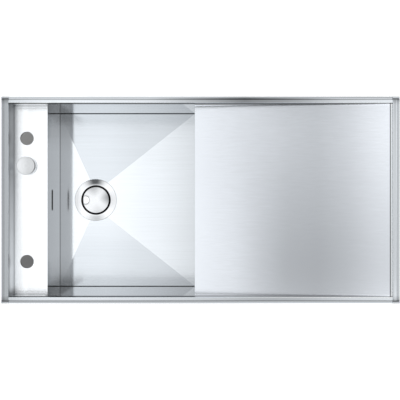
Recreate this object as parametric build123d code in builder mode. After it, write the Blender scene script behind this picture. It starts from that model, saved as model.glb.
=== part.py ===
from build123d import *
import os
from math import atan2, cos, pi, radians, sin, sqrt

# Inset kitchen sink with a recessed tap deck, a welded sheet bowl and a sloping drainer.
# Millimetres. The origin is the centre of the rim on the worktop surface, +X points to the
# drainer end, +Y to the rear and +Z up.

# Outline and rim
LENGTH = 1000.0
WIDTH = 520.0
RIM_HEIGHT = 6.0
END_RAIL_WIDTH = 19.0
SIDE_RAIL_WIDTH = 17.0
RAIL_BAND_WIDTH = 7.0
RAIL_BAND_LOW = 2.4
RAIL_BAND_HIGH = 4.8
RAIL_GROOVE_WIDTH = 2.2
RAIL_GROOVE_FLOOR = 3.8
RAIL_NOSE_RADIUS = 2.6
RAIL_LIP_THICKNESS = 1.5
RAIL_LIP_CLEARANCE = 0.6
CAP_LENGTH = 8.0
CAP_STEP = 0.4
CAP_BEVEL = 2.5
SEAL_THICKNESS = 2.0
SEAL_WALL_GAP = 1.0
SEAL_LIP_GAP = 0.3

# Sheet steel pan, depths from the top of the rim
SHEET = 1.2
DECK_WIDTH = 86.0
DECK_DEPTH = 48.0
BOWL_LENGTH = 380.0
BOWL_DEPTH = 190.0
FLOOR_FALL = 1.0
VALLEY_LENGTH = 44.0
VALLEY_WIDTH = 2.0
DRAINER_LOW_DEPTH = 40.0
DRAINER_HIGH_DEPTH = 9.0
DRAINER_NOSE_RADIUS = 0.5
SKIRT_DEPTH = 52.0

# Tap deck
TAP_HOLE_RADIUS = 17.5
TAP_HOLE_SPACING = 318.0
HOLE_INSET = 33.0
BACKING_THICKNESS = 4.0
BACKING_LENGTH = 430.0
BACKING_GAP = 3.0
BACKING_CORNER = 8.0

# Overflow
OVERFLOW_DEPTH = 97.0
SLOT_LENGTH = 54.0
SLOT_HEIGHT = 12.0
OVERFLOW_GASKET_THICKNESS = 2.0
OVERFLOW_FLANGE_LENGTH = 92.0
OVERFLOW_FLANGE_HEIGHT = 36.0
OVERFLOW_FLANGE_THICKNESS = 2.5
OVERFLOW_FLANGE_CORNER = 9.0
OVERFLOW_MARGIN = 3.0
OVERFLOW_BOX_DEPTH = 28.0
OVERFLOW_BOX_WALL = 2.0
OVERFLOW_STUD_SPACING = 78.0
SPIGOT_RADIUS = 9.8
SPIGOT_WALL = 1.8
SPIGOT_LENGTH = 26.0

# Overflow hose
HOSE_BORE_RADIUS = 10.0
HOSE_WALL = 1.6
HOSE_RIB_HEIGHT = 2.0
HOSE_RIB_PITCH = 5.0
HOSE_RIB_CREST = 1.8
HOSE_RIB_FLANK = 0.7
HOSE_BEND_RADIUS = 42.0
HOSE_CUFF_LENGTH = 24.0
HOSE_STOP_GAP = 0.3
HOSE_CLIP_GAP = 0.05
HOSE_CLIP_THICKNESS = 1.0
HOSE_CLIP_WIDTH = 9.0
HOSE_CLIP_LUG = 8.0
HOSE_CLIP_LUG_WIDTH = 7.0

# Studs and nuts
STUD_RADIUS = 2.0
STUD_HOLE_GAP = 0.2
NUT_ACROSS_FLATS = 7.0
NUT_HEIGHT = 3.2
STUD_PROUD = 0.8

# Waste
DRAIN_INSET = 100.0
SEAT_DROP = 6.0
SEAT_RADIUS = 59.0
DRAIN_HOLE_RADIUS = 45.0
FLANGE_RADIUS = 58.5
FLANGE_EDGE = 4.0
FLANGE_THROAT = 1.5
WASTE_UPPER_SEAL_THICKNESS = 1.5
WASTE_LOWER_SEAL_THICKNESS = 2.5
SEAL_MARGIN = 1.5
CUP_RADIUS = 41.5
CUP_WALL = 1.2
CUP_DEPTH = 40.0
CUP_HOLES = 6
CUP_HOLE_RADIUS = 8.5
CUP_HOLE_CIRCLE = 25.0
BODY_GAP = 0.5
BODY_WALL = 3.0
BODY_FLANGE_RADIUS = 57.0
BODY_FLANGE_THICKNESS = 5.0
BODY_CHAMBER_DEPTH = 33.0
BODY_CONE_HEIGHT = 14.0
OUTLET_RADIUS = 23.9
OUTLET_WALL = 3.4
OUTLET_LENGTH = 30.0
BODY_BOSS_RADIUS = 9.0
BODY_BOSS_HEIGHT = 11.0
BODY_SPOKES = 3
BODY_SPOKE_WIDTH = 4.0
PORT_DROP = 16.0
PORT_LENGTH = 28.0

# Clamp screw, lift pin and lever
CLAMP_HEAD_RADIUS = 9.5
CLAMP_HEAD_HEIGHT = 3.5
CLAMP_SHANK_RADIUS = 5.0
PIN_RADIUS = 3.0
PIN_RUNNING_GAP = 0.08
FINGER_REACH = 20.0
FINGER_NOSE_RADIUS = 3.0
FINGER_WIDTH = 8.0
LEVER_HUB_RADIUS = 6.0
FINGER_PIN_GAP = 0.35
LEVER_SWING = 25.0
LEVER_DROP = 21.0
SHAFT_RADIUS = 3.0
SHAFT_TAIL = 2.0
LEVER_BOSS_RADIUS = 7.0
LEVER_BOSS_END = 50.0
CRANK_RADIUS = 28.0
CRANK_THICKNESS = 4.0
CRANK_HUB_RADIUS = 7.0
CRANK_TIP_RADIUS = 5.0
CRANK_SIDE_GAP = 0.5
CRANK_PIN_RADIUS = 2.2
BRACKET_THICKNESS = 2.0
BRACKET_REACH = 46.0
BRACKET_TAB_HEIGHT = 16.0
BRACKET_BAND = 18.0

# Pull cable
SHEATH_RADIUS = 2.5
SHEATH_BORE_RADIUS = 1.05
WIRE_RADIUS = 0.75
WIRE_TAIL = 16.0
SHEATH_BENDS = [40.0, 80.0, 60.0]
SHEATH_LEAD_OUT = 42.0
SHEATH_DROP = 160.0
SHEATH_SIDE_STEP = 4.0
SHEATH_RETURN = 2.0
SHEATH_RUN_IN = 64.0
EYE_RADIUS = 4.6
EYE_PLAY = 0.7
EYE_THICKNESS = 3.0

# Basket, seal and lid
PLUG_RADIUS = 37.8
LID_GAP = 0.4
LID_RING_GAP = 0.6
LID_RING_HEIGHT = 2.0
PLUG_SEAL_RADIUS = 41.2
PLUG_SEAL_HEIGHT = 5.0
PLUG_SEAL_PROUD = 0.5
LID_THICKNESS = 1.5
LID_DROP = 0.6
LID_EDGE_RADIUS = 0.5
NOTCH_RADIUS = 10.5
NOTCH_CENTRE = 29.5
NOTCH_CORNER = 3.0
BASKET_RIM_HEIGHT = 6.0
BASKET_RADIUS = 35.0
BASKET_DEPTH = 30.0
BASKET_WALL = 1.2
FINGER_SHELF_EDGE = 18.0
BASKET_SOCKET_RADIUS = 5.5
BASKET_SOCKET_LENGTH = 3.0
BASKET_SOCKET_GAP = 0.3
BASKET_HOLE_RADIUS = 2.5
BASKET_RING_RADII = (12.0, 20.0, 28.0)
BASKET_RING_COUNTS = (8, 14, 20)

# Control knob
KNOB_FROM_CENTRE = 88.0
KNOB_RADIUS = 23.2
KNOB_TOP = 13.0
KNOB_TOP_THICKNESS = 2.5
KNOB_SKIRT = 2.4
KNOB_EDGE_RADIUS = 1.0
KNOB_GAP = 0.5
KNOB_BASE_RADIUS = 23.8
KNOB_BASE_THICKNESS = 1.5
KNOB_TURN = 110.0
KNOB_BOSS_RADIUS = 7.0
SPINDLE_RADIUS = 4.0
SPINDLE_GAP = 0.08
NECK_RADIUS = 10.0
NECK_HOLE_GAP = 0.3
KNOB_NUT_HEIGHT = 3.0
KNOB_NUT_ACROSS_FLATS = 26.0
NECK_PROUD = 0.5
CONTROL_GASKET_THICKNESS = 1.5
HOUSING_RADIUS = 20.0
HOUSING_WALL = 2.0
HOUSING_ROOF = 5.0
HOUSING_CAVITY = 24.0
HOUSING_COVER_THICKNESS = 3.0
DRUM_RADIUS = 10.0
DRUM_HEIGHT = 10.0
DRUM_GROOVE_HEIGHT = 3.0
DRUM_ROOF_GAP = 6.0
SPINDLE_TAIL = 1.0
GLAND_RADIUS = 4.6
GLAND_LENGTH = 12.0
GLAND_SOCKET = 10.0
GLAND_WIRE_GAP = 0.4

# Clips that grip the worktop cut-out
CLIP_TOP = -12.0
CLIP_BOTTOM = -40.0
CLIP_SHEET = 0.8
CLIP_FOLD_HEIGHT = 3.2
CLIP_FOLD_WIDTH = 1.2
CLIP_SPRING = 8.0
CLIP_TIP = -16.0
CLIP_WIDTH = 22.0
CLIP_STUD_Z = -20.0
CLIP_SIDE_POSITIONS = (-430.0, -205.0, 150.0, 430.0)

# Bracing and damping under the pan
HAT_WIDTH = 30.0
HAT_DEPTH = 12.0
HAT_FLANGE = 14.0
HAT_SHEET = 1.0
HAT_LENGTH = 440.0
HAT_POSITIONS = (85.0, 250.0, 415.0)
PAD_THICKNESS = 3.0
DRAINER_PAD_LENGTH = 78.0
DRAINER_PAD_WIDTH = 380.0
DRAINER_PAD_POSITIONS = (167.5, 332.5)
BOWL_PAD_LENGTH = 250.0
BOWL_PAD_HEIGHT = 90.0
BOWL_PAD_Z = -118.0

# Places worked out from the sizes above
half_length = LENGTH / 2
half_width = WIDTH / 2
left_x = -half_length + END_RAIL_WIDTH
right_x = half_length - END_RAIL_WIDTH
inner_y = half_width - SIDE_RAIL_WIDTH
bowl_left_x = left_x + DECK_WIDTH
bowl_right_x = bowl_left_x + BOWL_LENGTH
bowl_mid_x = (bowl_left_x + bowl_right_x) / 2
deck_z = RIM_HEIGHT - DECK_DEPTH
floor_z = RIM_HEIGHT - BOWL_DEPTH
valley_z = floor_z - FLOOR_FALL
drainer_low_z = RIM_HEIGHT - DRAINER_LOW_DEPTH
drainer_high_z = RIM_HEIGHT - DRAINER_HIGH_DEPTH
skirt_z = RIM_HEIGHT - SKIRT_DEPTH
drainer_slope = atan2(drainer_high_z - drainer_low_z, right_x - bowl_right_x)
hole_x = left_x + HOLE_INSET
tap_hole_y = TAP_HOLE_SPACING / 2
knob_y = KNOB_FROM_CENTRE
overflow_z = RIM_HEIGHT - OVERFLOW_DEPTH
drain_x = bowl_left_x + DRAIN_INSET
seat_z = valley_z - SEAT_DROP
flange_under_z = seat_z + WASTE_UPPER_SEAL_THICKNESS
flange_top_z = flange_under_z + FLANGE_EDGE
throat_z = flange_under_z + FLANGE_THROAT
cup_floor_z = flange_under_z - CUP_DEPTH
cup_under_z = cup_floor_z - CUP_WALL
body_top_z = seat_z - SHEET - WASTE_LOWER_SEAL_THICKNESS
body_bore_radius = CUP_RADIUS + CUP_WALL + BODY_GAP
body_radius = body_bore_radius + BODY_WALL
chamber_floor_z = cup_under_z - BODY_CHAMBER_DEPTH
outlet_top_z = chamber_floor_z - BODY_CONE_HEIGHT
outlet_end_z = outlet_top_z - OUTLET_LENGTH
port_z = cup_under_z - PORT_DROP
lever_x = drain_x + FINGER_REACH
lever_z = cup_under_z - LEVER_DROP
lever_rest = radians(LEVER_SWING / 2)
finger_rise = 2 * FINGER_REACH * sin(lever_rest)
wire_travel = 2 * CRANK_RADIUS * sin(lever_rest)
crank_near_y = LEVER_BOSS_END + BRACKET_THICKNESS + CRANK_SIDE_GAP
crank_far_y = crank_near_y + CRANK_THICKNESS
wire_y = crank_far_y + CRANK_SIDE_GAP + EYE_THICKNESS / 2
wire_z = lever_z - CRANK_RADIUS * (1 + cos(lever_rest)) / 2
eye_x = lever_x + CRANK_RADIUS * sin(lever_rest)
tab_x = lever_x - BRACKET_REACH
lid_under_z = throat_z - LID_DROP
basket_floor_z = lid_under_z - BASKET_DEPTH
drum_wire_radius = wire_travel / radians(KNOB_TURN)
neck_top_z = deck_z + KNOB_BASE_THICKNESS + KNOB_NUT_HEIGHT + NECK_PROUD
housing_top_z = deck_z - SHEET - BACKING_THICKNESS - CONTROL_GASKET_THICKNESS
housing_roof_z = housing_top_z - HOUSING_ROOF
housing_end_z = housing_roof_z - HOUSING_CAVITY
drum_top_z = housing_roof_z - DRUM_ROOF_GAP
drum_mid_z = drum_top_z - DRUM_HEIGHT / 2
wall_x = bowl_left_x - SHEET
spigot_x = wall_x - OVERFLOW_GASKET_THICKNESS - OVERFLOW_FLANGE_THICKNESS - OVERFLOW_BOX_DEPTH / 2
box_under_z = overflow_z - SLOT_HEIGHT / 2 - OVERFLOW_MARGIN - OVERFLOW_BOX_WALL
hose_top_z = box_under_z - HOSE_STOP_GAP
hose_end_x = drain_x - body_radius - HOSE_STOP_GAP
hose_radius = HOSE_BORE_RADIUS + HOSE_WALL

pieces = {}


def keep(name, builder):
    """Label a finished piece and hold it for export."""
    builder.part.label = name
    pieces[name] = builder.part


# Rim rails

def section_plane(origin, outward):
    """A plane whose x points along outward and whose y points up."""
    away = Vector(outward)
    return Plane(origin=origin, x_dir=away, z_dir=away.cross(Vector(0, 0, 1)))


def rail_section(plane, width):
    """Sloped outer band, shadow groove and flat inner band, over a lip that hides the seal."""
    groove_end = RAIL_BAND_WIDTH + RAIL_GROOVE_WIDTH
    with BuildSketch(plane) as section:
        with BuildLine():
            Polyline(
                (0, RAIL_LIP_CLEARANCE),
                (0, RAIL_BAND_LOW),
                (RAIL_BAND_WIDTH, RAIL_BAND_HIGH),
                (RAIL_BAND_WIDTH, RAIL_GROOVE_FLOOR),
                (groove_end, RAIL_GROOVE_FLOOR),
                (groove_end, RIM_HEIGHT),
                (width, RIM_HEIGHT),
                (width, SEAL_THICKNESS),
                (RAIL_LIP_THICKNESS, SEAL_THICKNESS),
                (RAIL_LIP_THICKNESS, RAIL_LIP_CLEARANCE),
                close=True,
            )
        make_face()
        nose = section.vertices().sort_by_distance((width, RIM_HEIGHT))[0]
        fillet(nose, RAIL_NOSE_RADIUS)
    return section.sketch


end_rail_half = half_width - CAP_LENGTH

for name, side in (("rear_rail", 1), ("front_rail", -1)):
    with BuildPart() as rail:
        rail_start = section_plane((0, side * half_width, 0), (0, -side, 0))
        extrude(rail_section(rail_start, SIDE_RAIL_WIDTH), amount=right_x, both=True)
    keep(name, rail)

for name, side in (("right_end_rail", 1), ("left_end_rail", -1)):
    with BuildPart() as rail:
        rail_start = section_plane((side * half_length, 0, 0), (-side, 0, 0))
        extrude(rail_section(rail_start, END_RAIL_WIDTH), amount=end_rail_half, both=True)
    keep(name, rail)

cap_height = RIM_HEIGHT - CAP_STEP - SEAL_THICKNESS
with BuildPart() as rail_end_caps:
    with Locations((0, 0, SEAL_THICKNESS)):
        with GridLocations(LENGTH - END_RAIL_WIDTH, WIDTH - CAP_LENGTH, 2, 2):
            Box(END_RAIL_WIDTH, CAP_LENGTH, cap_height, align=(Align.CENTER, Align.CENTER, Align.MIN))
    top_edges = rail_end_caps.edges().group_by(Axis.Z)[-1]
    cap_middle = end_rail_half + CAP_LENGTH / 2
    end_edges = [edge for edge in top_edges.filter_by(Axis.X) if abs(edge.center().Y) > cap_middle]
    chamfer(end_edges, CAP_BEVEL)
keep("rail_end_caps", rail_end_caps)

seal_outer_length = LENGTH - 2 * (RAIL_LIP_THICKNESS + SEAL_LIP_GAP)
seal_outer_width = WIDTH - 2 * (RAIL_LIP_THICKNESS + SEAL_LIP_GAP)
seal_inner_length = 2 * (right_x + SHEET + SEAL_WALL_GAP)
seal_inner_width = 2 * (inner_y + SHEET + SEAL_WALL_GAP)
with BuildPart() as rim_seal:
    with BuildSketch():
        Rectangle(seal_outer_length, seal_outer_width)
        Rectangle(seal_inner_length, seal_inner_width, mode=Mode.SUBTRACT)
    extrude(amount=SEAL_THICKNESS)
keep("rim_seal", rim_seal)

# Walls of the pan

# Each long wall is deep at the bowl and a short skirt beside the tap deck and the drainer
for name, side in (("rear_wall", 1), ("front_wall", -1)):
    with BuildPart() as wall:
        with BuildSketch(Plane.XZ.offset(-side * inner_y)):
            with BuildLine():
                Polyline(
                    (left_x - SHEET, SEAL_THICKNESS),
                    (left_x - SHEET, skirt_z),
                    (bowl_left_x - SHEET, skirt_z),
                    (bowl_left_x - SHEET, floor_z - SHEET),
                    (bowl_right_x + SHEET, floor_z - SHEET),
                    (bowl_right_x + SHEET, skirt_z),
                    (right_x + SHEET, skirt_z),
                    (right_x + SHEET, SEAL_THICKNESS),
                    close=True,
                )
            make_face()
        extrude(amount=-side * SHEET)
    keep(name, wall)

for name, start_x in (("right_end_wall", right_x), ("left_end_wall", left_x - SHEET)):
    with BuildPart() as wall:
        with BuildSketch(Plane.YZ.offset(start_x)):
            with Locations((0, (SEAL_THICKNESS + skirt_z) / 2)):
                Rectangle(2 * inner_y, SEAL_THICKNESS - skirt_z)
        extrude(amount=SHEET)
    keep(name, wall)

# Tap deck and its backing plate

neck_hole_radius = NECK_RADIUS + NECK_HOLE_GAP


def deck_holes():
    """Two tap holes and the hole for the control's neck."""
    with Locations((hole_x, tap_hole_y), (hole_x, -tap_hole_y)):
        Circle(TAP_HOLE_RADIUS, mode=Mode.SUBTRACT)
    with Locations((hole_x, knob_y)):
        Circle(neck_hole_radius, mode=Mode.SUBTRACT)


with BuildPart() as tap_deck:
    with BuildSketch(Plane.XY.offset(deck_z - SHEET)):
        with Locations(((left_x + bowl_left_x) / 2, 0)):
            Rectangle(DECK_WIDTH, 2 * inner_y)
        deck_holes()
    extrude(amount=SHEET)
keep("tap_deck", tap_deck)

backing_width = DECK_WIDTH - SHEET - 2 * BACKING_GAP
with BuildPart() as deck_backing_plate:
    with BuildSketch(Plane.XY.offset(deck_z - SHEET - BACKING_THICKNESS)):
        with Locations((left_x + BACKING_GAP + backing_width / 2, 0)):
            RectangleRounded(backing_width, BACKING_LENGTH, BACKING_CORNER)
        deck_holes()
    extrude(amount=BACKING_THICKNESS)
keep("deck_backing_plate", deck_backing_plate)

# Bowl

left_wall_height = deck_z - floor_z
with BuildPart() as bowl_left_wall:
    with BuildSketch(Plane.YZ.offset(wall_x)):
        with Locations((0, floor_z - SHEET + left_wall_height / 2)):
            Rectangle(2 * inner_y, left_wall_height)
        with Locations((0, overflow_z)):
            SlotOverall(SLOT_LENGTH, SLOT_HEIGHT, mode=Mode.SUBTRACT)
    extrude(amount=SHEET)
keep("bowl_left_wall", bowl_left_wall)

right_wall_height = drainer_low_z - floor_z
with BuildPart() as bowl_right_wall:
    with BuildSketch(Plane.YZ.offset(bowl_right_x)):
        with Locations((0, floor_z - SHEET + right_wall_height / 2)):
            Rectangle(2 * inner_y, right_wall_height)
    extrude(amount=SHEET)
keep("bowl_right_wall", bowl_right_wall)


def pit_sections(drop):
    """Top and bottom of four flat facets that fall from the walls to a short valley."""
    with BuildSketch(Plane.XY.offset(floor_z - drop)) as pit_top:
        with Locations((bowl_mid_x, 0)):
            Rectangle(BOWL_LENGTH, 2 * inner_y)
    with BuildSketch(Plane.XY.offset(valley_z - drop)) as pit_valley:
        with Locations((drain_x, 0)):
            Rectangle(VALLEY_WIDTH, VALLEY_LENGTH)
    return [pit_top.sketch, pit_valley.sketch]


with BuildPart() as bowl_floor:
    with BuildSketch(Plane.XY.offset(floor_z - SHEET)):
        with Locations((bowl_mid_x, 0)):
            Rectangle(BOWL_LENGTH, 2 * inner_y)
    extrude(amount=SHEET)
    loft(pit_sections(SHEET), ruled=True)
    with BuildSketch(Plane.XY.offset(seat_z - SHEET)):
        with Locations((drain_x, 0)):
            Circle(SEAT_RADIUS + SHEET)
    extrude(amount=floor_z - seat_z)
    loft(pit_sections(0), ruled=True, mode=Mode.SUBTRACT)
    with BuildSketch(Plane.XY.offset(seat_z)):
        with Locations((drain_x, 0)):
            Circle(SEAT_RADIUS)
    extrude(amount=floor_z - seat_z, mode=Mode.SUBTRACT)
    with BuildSketch(Plane.XY.offset(seat_z - SHEET)):
        with Locations((drain_x, 0)):
            Circle(DRAIN_HOLE_RADIUS)
    extrude(amount=SHEET, mode=Mode.SUBTRACT)
keep("bowl_floor", bowl_floor)

# Drainer, its stiffeners and damping pads

with BuildPart() as drainer:
    with BuildSketch(Plane.XZ) as section:
        with BuildLine():
            Polyline(
                (bowl_right_x, drainer_low_z - SHEET),
                (right_x, drainer_high_z - SHEET),
                (right_x, drainer_high_z),
                (bowl_right_x, drainer_low_z),
                close=True,
            )
        make_face()
        nose = section.vertices().sort_by_distance((bowl_right_x, drainer_low_z))[0]
        fillet(nose, DRAINER_NOSE_RADIUS)
    extrude(amount=inner_y, both=True)
keep("drainer", drainer)

# Local x runs up the slope and local y stands on the underside of the drainer
drainer_under = Plane(
    origin=(bowl_right_x, 0, drainer_low_z - SHEET),
    x_dir=(cos(drainer_slope), 0, sin(drainer_slope)),
    z_dir=(0, -1, 0),
)


def hat_outline(centre):
    """Folded channel with two flanges welded to the plate above."""
    near = HAT_WIDTH / 2
    far = near + HAT_FLANGE
    with BuildSketch(drainer_under) as hat:
        with BuildLine():
            Polyline(
                (centre - far, 0),
                (centre - far, -HAT_SHEET),
                (centre - near, -HAT_SHEET),
                (centre - near, -HAT_DEPTH),
                (centre + near, -HAT_DEPTH),
                (centre + near, -HAT_SHEET),
                (centre + far, -HAT_SHEET),
                (centre + far, 0),
                (centre + near - HAT_SHEET, 0),
                (centre + near - HAT_SHEET, HAT_SHEET - HAT_DEPTH),
                (centre - near + HAT_SHEET, HAT_SHEET - HAT_DEPTH),
                (centre - near + HAT_SHEET, 0),
                close=True,
            )
        make_face()
    return hat.sketch


with BuildPart() as drainer_stiffeners:
    for centre in HAT_POSITIONS:
        extrude(hat_outline(centre), amount=HAT_LENGTH / 2, both=True)
keep("drainer_stiffeners", drainer_stiffeners)

with BuildPart() as drainer_sound_pads:
    with BuildSketch(drainer_under):
        with Locations(*[(centre, -PAD_THICKNESS / 2) for centre in DRAINER_PAD_POSITIONS]):
            Rectangle(DRAINER_PAD_LENGTH, PAD_THICKNESS)
    extrude(amount=DRAINER_PAD_WIDTH / 2, both=True)
keep("drainer_sound_pads", drainer_sound_pads)

wall_outer_y = inner_y + SHEET
with BuildPart() as bowl_sound_pads:
    for side in (1, -1):
        with BuildSketch(Plane.XZ.offset(-side * wall_outer_y)):
            with Locations((bowl_mid_x, BOWL_PAD_Z)):
                Rectangle(BOWL_PAD_LENGTH, BOWL_PAD_HEIGHT)
        extrude(amount=-side * PAD_THICKNESS)
    with BuildSketch(Plane.YZ.offset(bowl_right_x + SHEET)):
        with Locations((0, BOWL_PAD_Z)):
            Rectangle(BOWL_PAD_LENGTH, BOWL_PAD_HEIGHT)
    extrude(amount=PAD_THICKNESS)
keep("bowl_sound_pads", bowl_sound_pads)

# Spring clips, each on a stud welded to the outside of a wall

clip_places = []
for clip_x in CLIP_SIDE_POSITIONS:
    for side in (1, -1):
        clip_places.append(section_plane((clip_x, side * wall_outer_y, 0), (0, side, 0)))
for side in (1, -1):
    clip_places.append(section_plane((side * (right_x + SHEET), 0, 0), (side, 0, 0)))
clip_stud_length = CLIP_SHEET + NUT_HEIGHT + STUD_PROUD
nut_radius = NUT_ACROSS_FLATS / sqrt(3)


def stud_plane(place, reach):
    """A plane facing outward at the stud, some way out from the wall."""
    centre = place.origin + Vector(0, 0, CLIP_STUD_Z) + place.x_dir * reach
    return Plane(origin=centre, z_dir=place.x_dir)


with BuildPart() as spring_clips:
    for place in clip_places:
        with BuildSketch(place):
            with BuildLine():
                Polyline(
                    (0, CLIP_TOP),
                    (CLIP_SHEET, CLIP_TOP),
                    (CLIP_SHEET, CLIP_BOTTOM + CLIP_FOLD_HEIGHT),
                    (CLIP_SPRING - CLIP_SHEET, CLIP_TIP),
                    (CLIP_SPRING, CLIP_TIP),
                    (CLIP_SPRING, CLIP_TIP - CLIP_SHEET),
                    (CLIP_FOLD_WIDTH, CLIP_BOTTOM),
                    (0, CLIP_BOTTOM),
                    close=True,
                )
            make_face()
        extrude(amount=CLIP_WIDTH / 2, both=True)
        with BuildSketch(stud_plane(place, 0)):
            Circle(STUD_RADIUS + STUD_HOLE_GAP)
        extrude(amount=CLIP_SHEET, mode=Mode.SUBTRACT)
keep("spring_clips", spring_clips)

with BuildPart() as clip_studs:
    for place in clip_places:
        with BuildSketch(stud_plane(place, 0)):
            Circle(STUD_RADIUS)
        extrude(amount=clip_stud_length)
keep("clip_studs", clip_studs)

with BuildPart() as clip_nuts:
    for place in clip_places:
        with BuildSketch(stud_plane(place, CLIP_SHEET)):
            RegularPolygon(nut_radius, 6)
            Circle(STUD_RADIUS, mode=Mode.SUBTRACT)
        extrude(amount=NUT_HEIGHT)
keep("clip_nuts", clip_nuts)

# Overflow box behind the slot

stud_spots = ((OVERFLOW_STUD_SPACING / 2, overflow_z), (-OVERFLOW_STUD_SPACING / 2, overflow_z))
overflow_face = Plane.YZ.offset(wall_x)
flange_face_x = wall_x - OVERFLOW_GASKET_THICKNESS
box_face_x = flange_face_x - OVERFLOW_FLANGE_THICKNESS
box_length = SLOT_LENGTH + 2 * OVERFLOW_MARGIN
box_height = SLOT_HEIGHT + 2 * OVERFLOW_MARGIN


def overflow_flange_outline():
    """Flange with an opening around the slot and a hole for each stud."""
    with Locations((0, overflow_z)):
        RectangleRounded(OVERFLOW_FLANGE_LENGTH, OVERFLOW_FLANGE_HEIGHT, OVERFLOW_FLANGE_CORNER)
        Rectangle(box_length, box_height, mode=Mode.SUBTRACT)
    with Locations(*stud_spots):
        Circle(STUD_RADIUS + STUD_HOLE_GAP, mode=Mode.SUBTRACT)


with BuildPart() as overflow_gasket:
    with BuildSketch(overflow_face):
        overflow_flange_outline()
    extrude(amount=-OVERFLOW_GASKET_THICKNESS)
keep("overflow_gasket", overflow_gasket)

with BuildPart() as overflow_box:
    with BuildSketch(Plane.YZ.offset(flange_face_x)):
        overflow_flange_outline()
    extrude(amount=-OVERFLOW_FLANGE_THICKNESS)
    with BuildSketch(Plane.YZ.offset(box_face_x)):
        with Locations((0, overflow_z)):
            Rectangle(box_length + 2 * OVERFLOW_BOX_WALL, box_height + 2 * OVERFLOW_BOX_WALL)
    extrude(amount=-OVERFLOW_BOX_DEPTH)
    with BuildSketch(Plane.XY.offset(overflow_z)):
        with Locations((spigot_x, 0)):
            Circle(SPIGOT_RADIUS)
    extrude(amount=box_under_z - SPIGOT_LENGTH - overflow_z)
    with BuildSketch(Plane.YZ.offset(box_face_x)):
        with Locations((0, overflow_z)):
            Rectangle(box_length, box_height)
    extrude(amount=OVERFLOW_BOX_WALL - OVERFLOW_BOX_DEPTH, mode=Mode.SUBTRACT)
    with BuildSketch(Plane.XY.offset(overflow_z)):
        with Locations((spigot_x, 0)):
            Circle(SPIGOT_RADIUS - SPIGOT_WALL)
    extrude(amount=box_under_z - SPIGOT_LENGTH - overflow_z, mode=Mode.SUBTRACT)
keep("overflow_box", overflow_box)

flange_stack = OVERFLOW_GASKET_THICKNESS + OVERFLOW_FLANGE_THICKNESS
with BuildPart() as overflow_studs:
    with BuildSketch(overflow_face):
        with Locations(*stud_spots):
            Circle(STUD_RADIUS)
    extrude(amount=-(flange_stack + NUT_HEIGHT + STUD_PROUD))
keep("overflow_studs", overflow_studs)

with BuildPart() as overflow_nuts:
    with BuildSketch(Plane.YZ.offset(box_face_x)):
        with Locations(*stud_spots):
            RegularPolygon(nut_radius, 6)
            Circle(STUD_RADIUS, mode=Mode.SUBTRACT)
    extrude(amount=-NUT_HEIGHT)
keep("overflow_nuts", overflow_nuts)

# Ribbed overflow hose, a smooth cuff at each end and one bend between

with BuildLine() as hose_path:
    FilletPolyline(
        (spigot_x, 0, hose_top_z),
        (spigot_x, 0, port_z),
        (hose_end_x, 0, port_z),
        radius=HOSE_BEND_RADIUS,
    )
hose_wire = hose_path.wire()
hose_length = hose_wire.length
rib_count = int((hose_length - 2 * HOSE_CUFF_LENGTH) / HOSE_RIB_PITCH)
rib_start = (hose_length - rib_count * HOSE_RIB_PITCH) / 2
crest_radius = hose_radius + HOSE_RIB_HEIGHT


def hose_plane(distance):
    """Section plane across the hose, with its x axis held steady along Y."""
    place = hose_wire.position_at(distance / hose_length)
    heading = hose_wire.tangent_at(distance / hose_length)
    return Plane(origin=place, x_dir=(0, 1, 0), z_dir=heading)


hose_stations = [(0, hose_radius)]
for rib in range(rib_count):
    rib_foot = rib_start + rib * HOSE_RIB_PITCH
    crest_start = rib_foot + HOSE_RIB_FLANK
    crest_end = crest_start + HOSE_RIB_CREST
    hose_stations.append((rib_foot, hose_radius))
    hose_stations.append((crest_start, crest_radius))
    hose_stations.append((crest_end, crest_radius))
    hose_stations.append((crest_end + HOSE_RIB_FLANK, hose_radius))
hose_stations.append((hose_length, hose_radius))

with BuildPart() as overflow_hose:
    for distance, radius in hose_stations:
        with BuildSketch(hose_plane(distance)):
            Circle(radius)
    loft(ruled=True)
    with BuildSketch(hose_plane(0)):
        Circle(HOSE_BORE_RADIUS)
    sweep(path=hose_wire, mode=Mode.SUBTRACT)
keep("overflow_hose", overflow_hose)
print("overflow hose", round(hose_length, 1), "long,", rib_count, "ribs, bend radius", HOSE_BEND_RADIUS)

clip_bore_radius = hose_radius + HOSE_CLIP_GAP
clip_outer_radius = clip_bore_radius + HOSE_CLIP_THICKNESS
with BuildPart() as hose_clips:
    for distance in (HOSE_CUFF_LENGTH / 2, hose_length - HOSE_CUFF_LENGTH / 2):
        with BuildSketch(hose_plane(distance)):
            Circle(clip_outer_radius)
            with Locations((clip_outer_radius + HOSE_CLIP_LUG / 2 - HOSE_CLIP_THICKNESS, 0)):
                Rectangle(HOSE_CLIP_LUG, HOSE_CLIP_LUG_WIDTH)
            Circle(clip_bore_radius, mode=Mode.SUBTRACT)
        extrude(amount=HOSE_CLIP_WIDTH / 2, both=True)
keep("hose_clips", hose_clips)

# Waste: flange and cup, seals, plastic body and its tail

drain_section = Plane(origin=(drain_x, 0, 0), x_dir=(1, 0, 0), z_dir=(0, -1, 0))
drain_axis = Axis((drain_x, 0, 0), (0, 0, 1))


def drain_outline(*points):
    """Closed outline of (radius, height) points beside the drain's axis."""
    with BuildSketch(drain_section) as outline:
        with BuildLine():
            Polyline(*points, close=True)
        make_face()
    return outline.sketch


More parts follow.
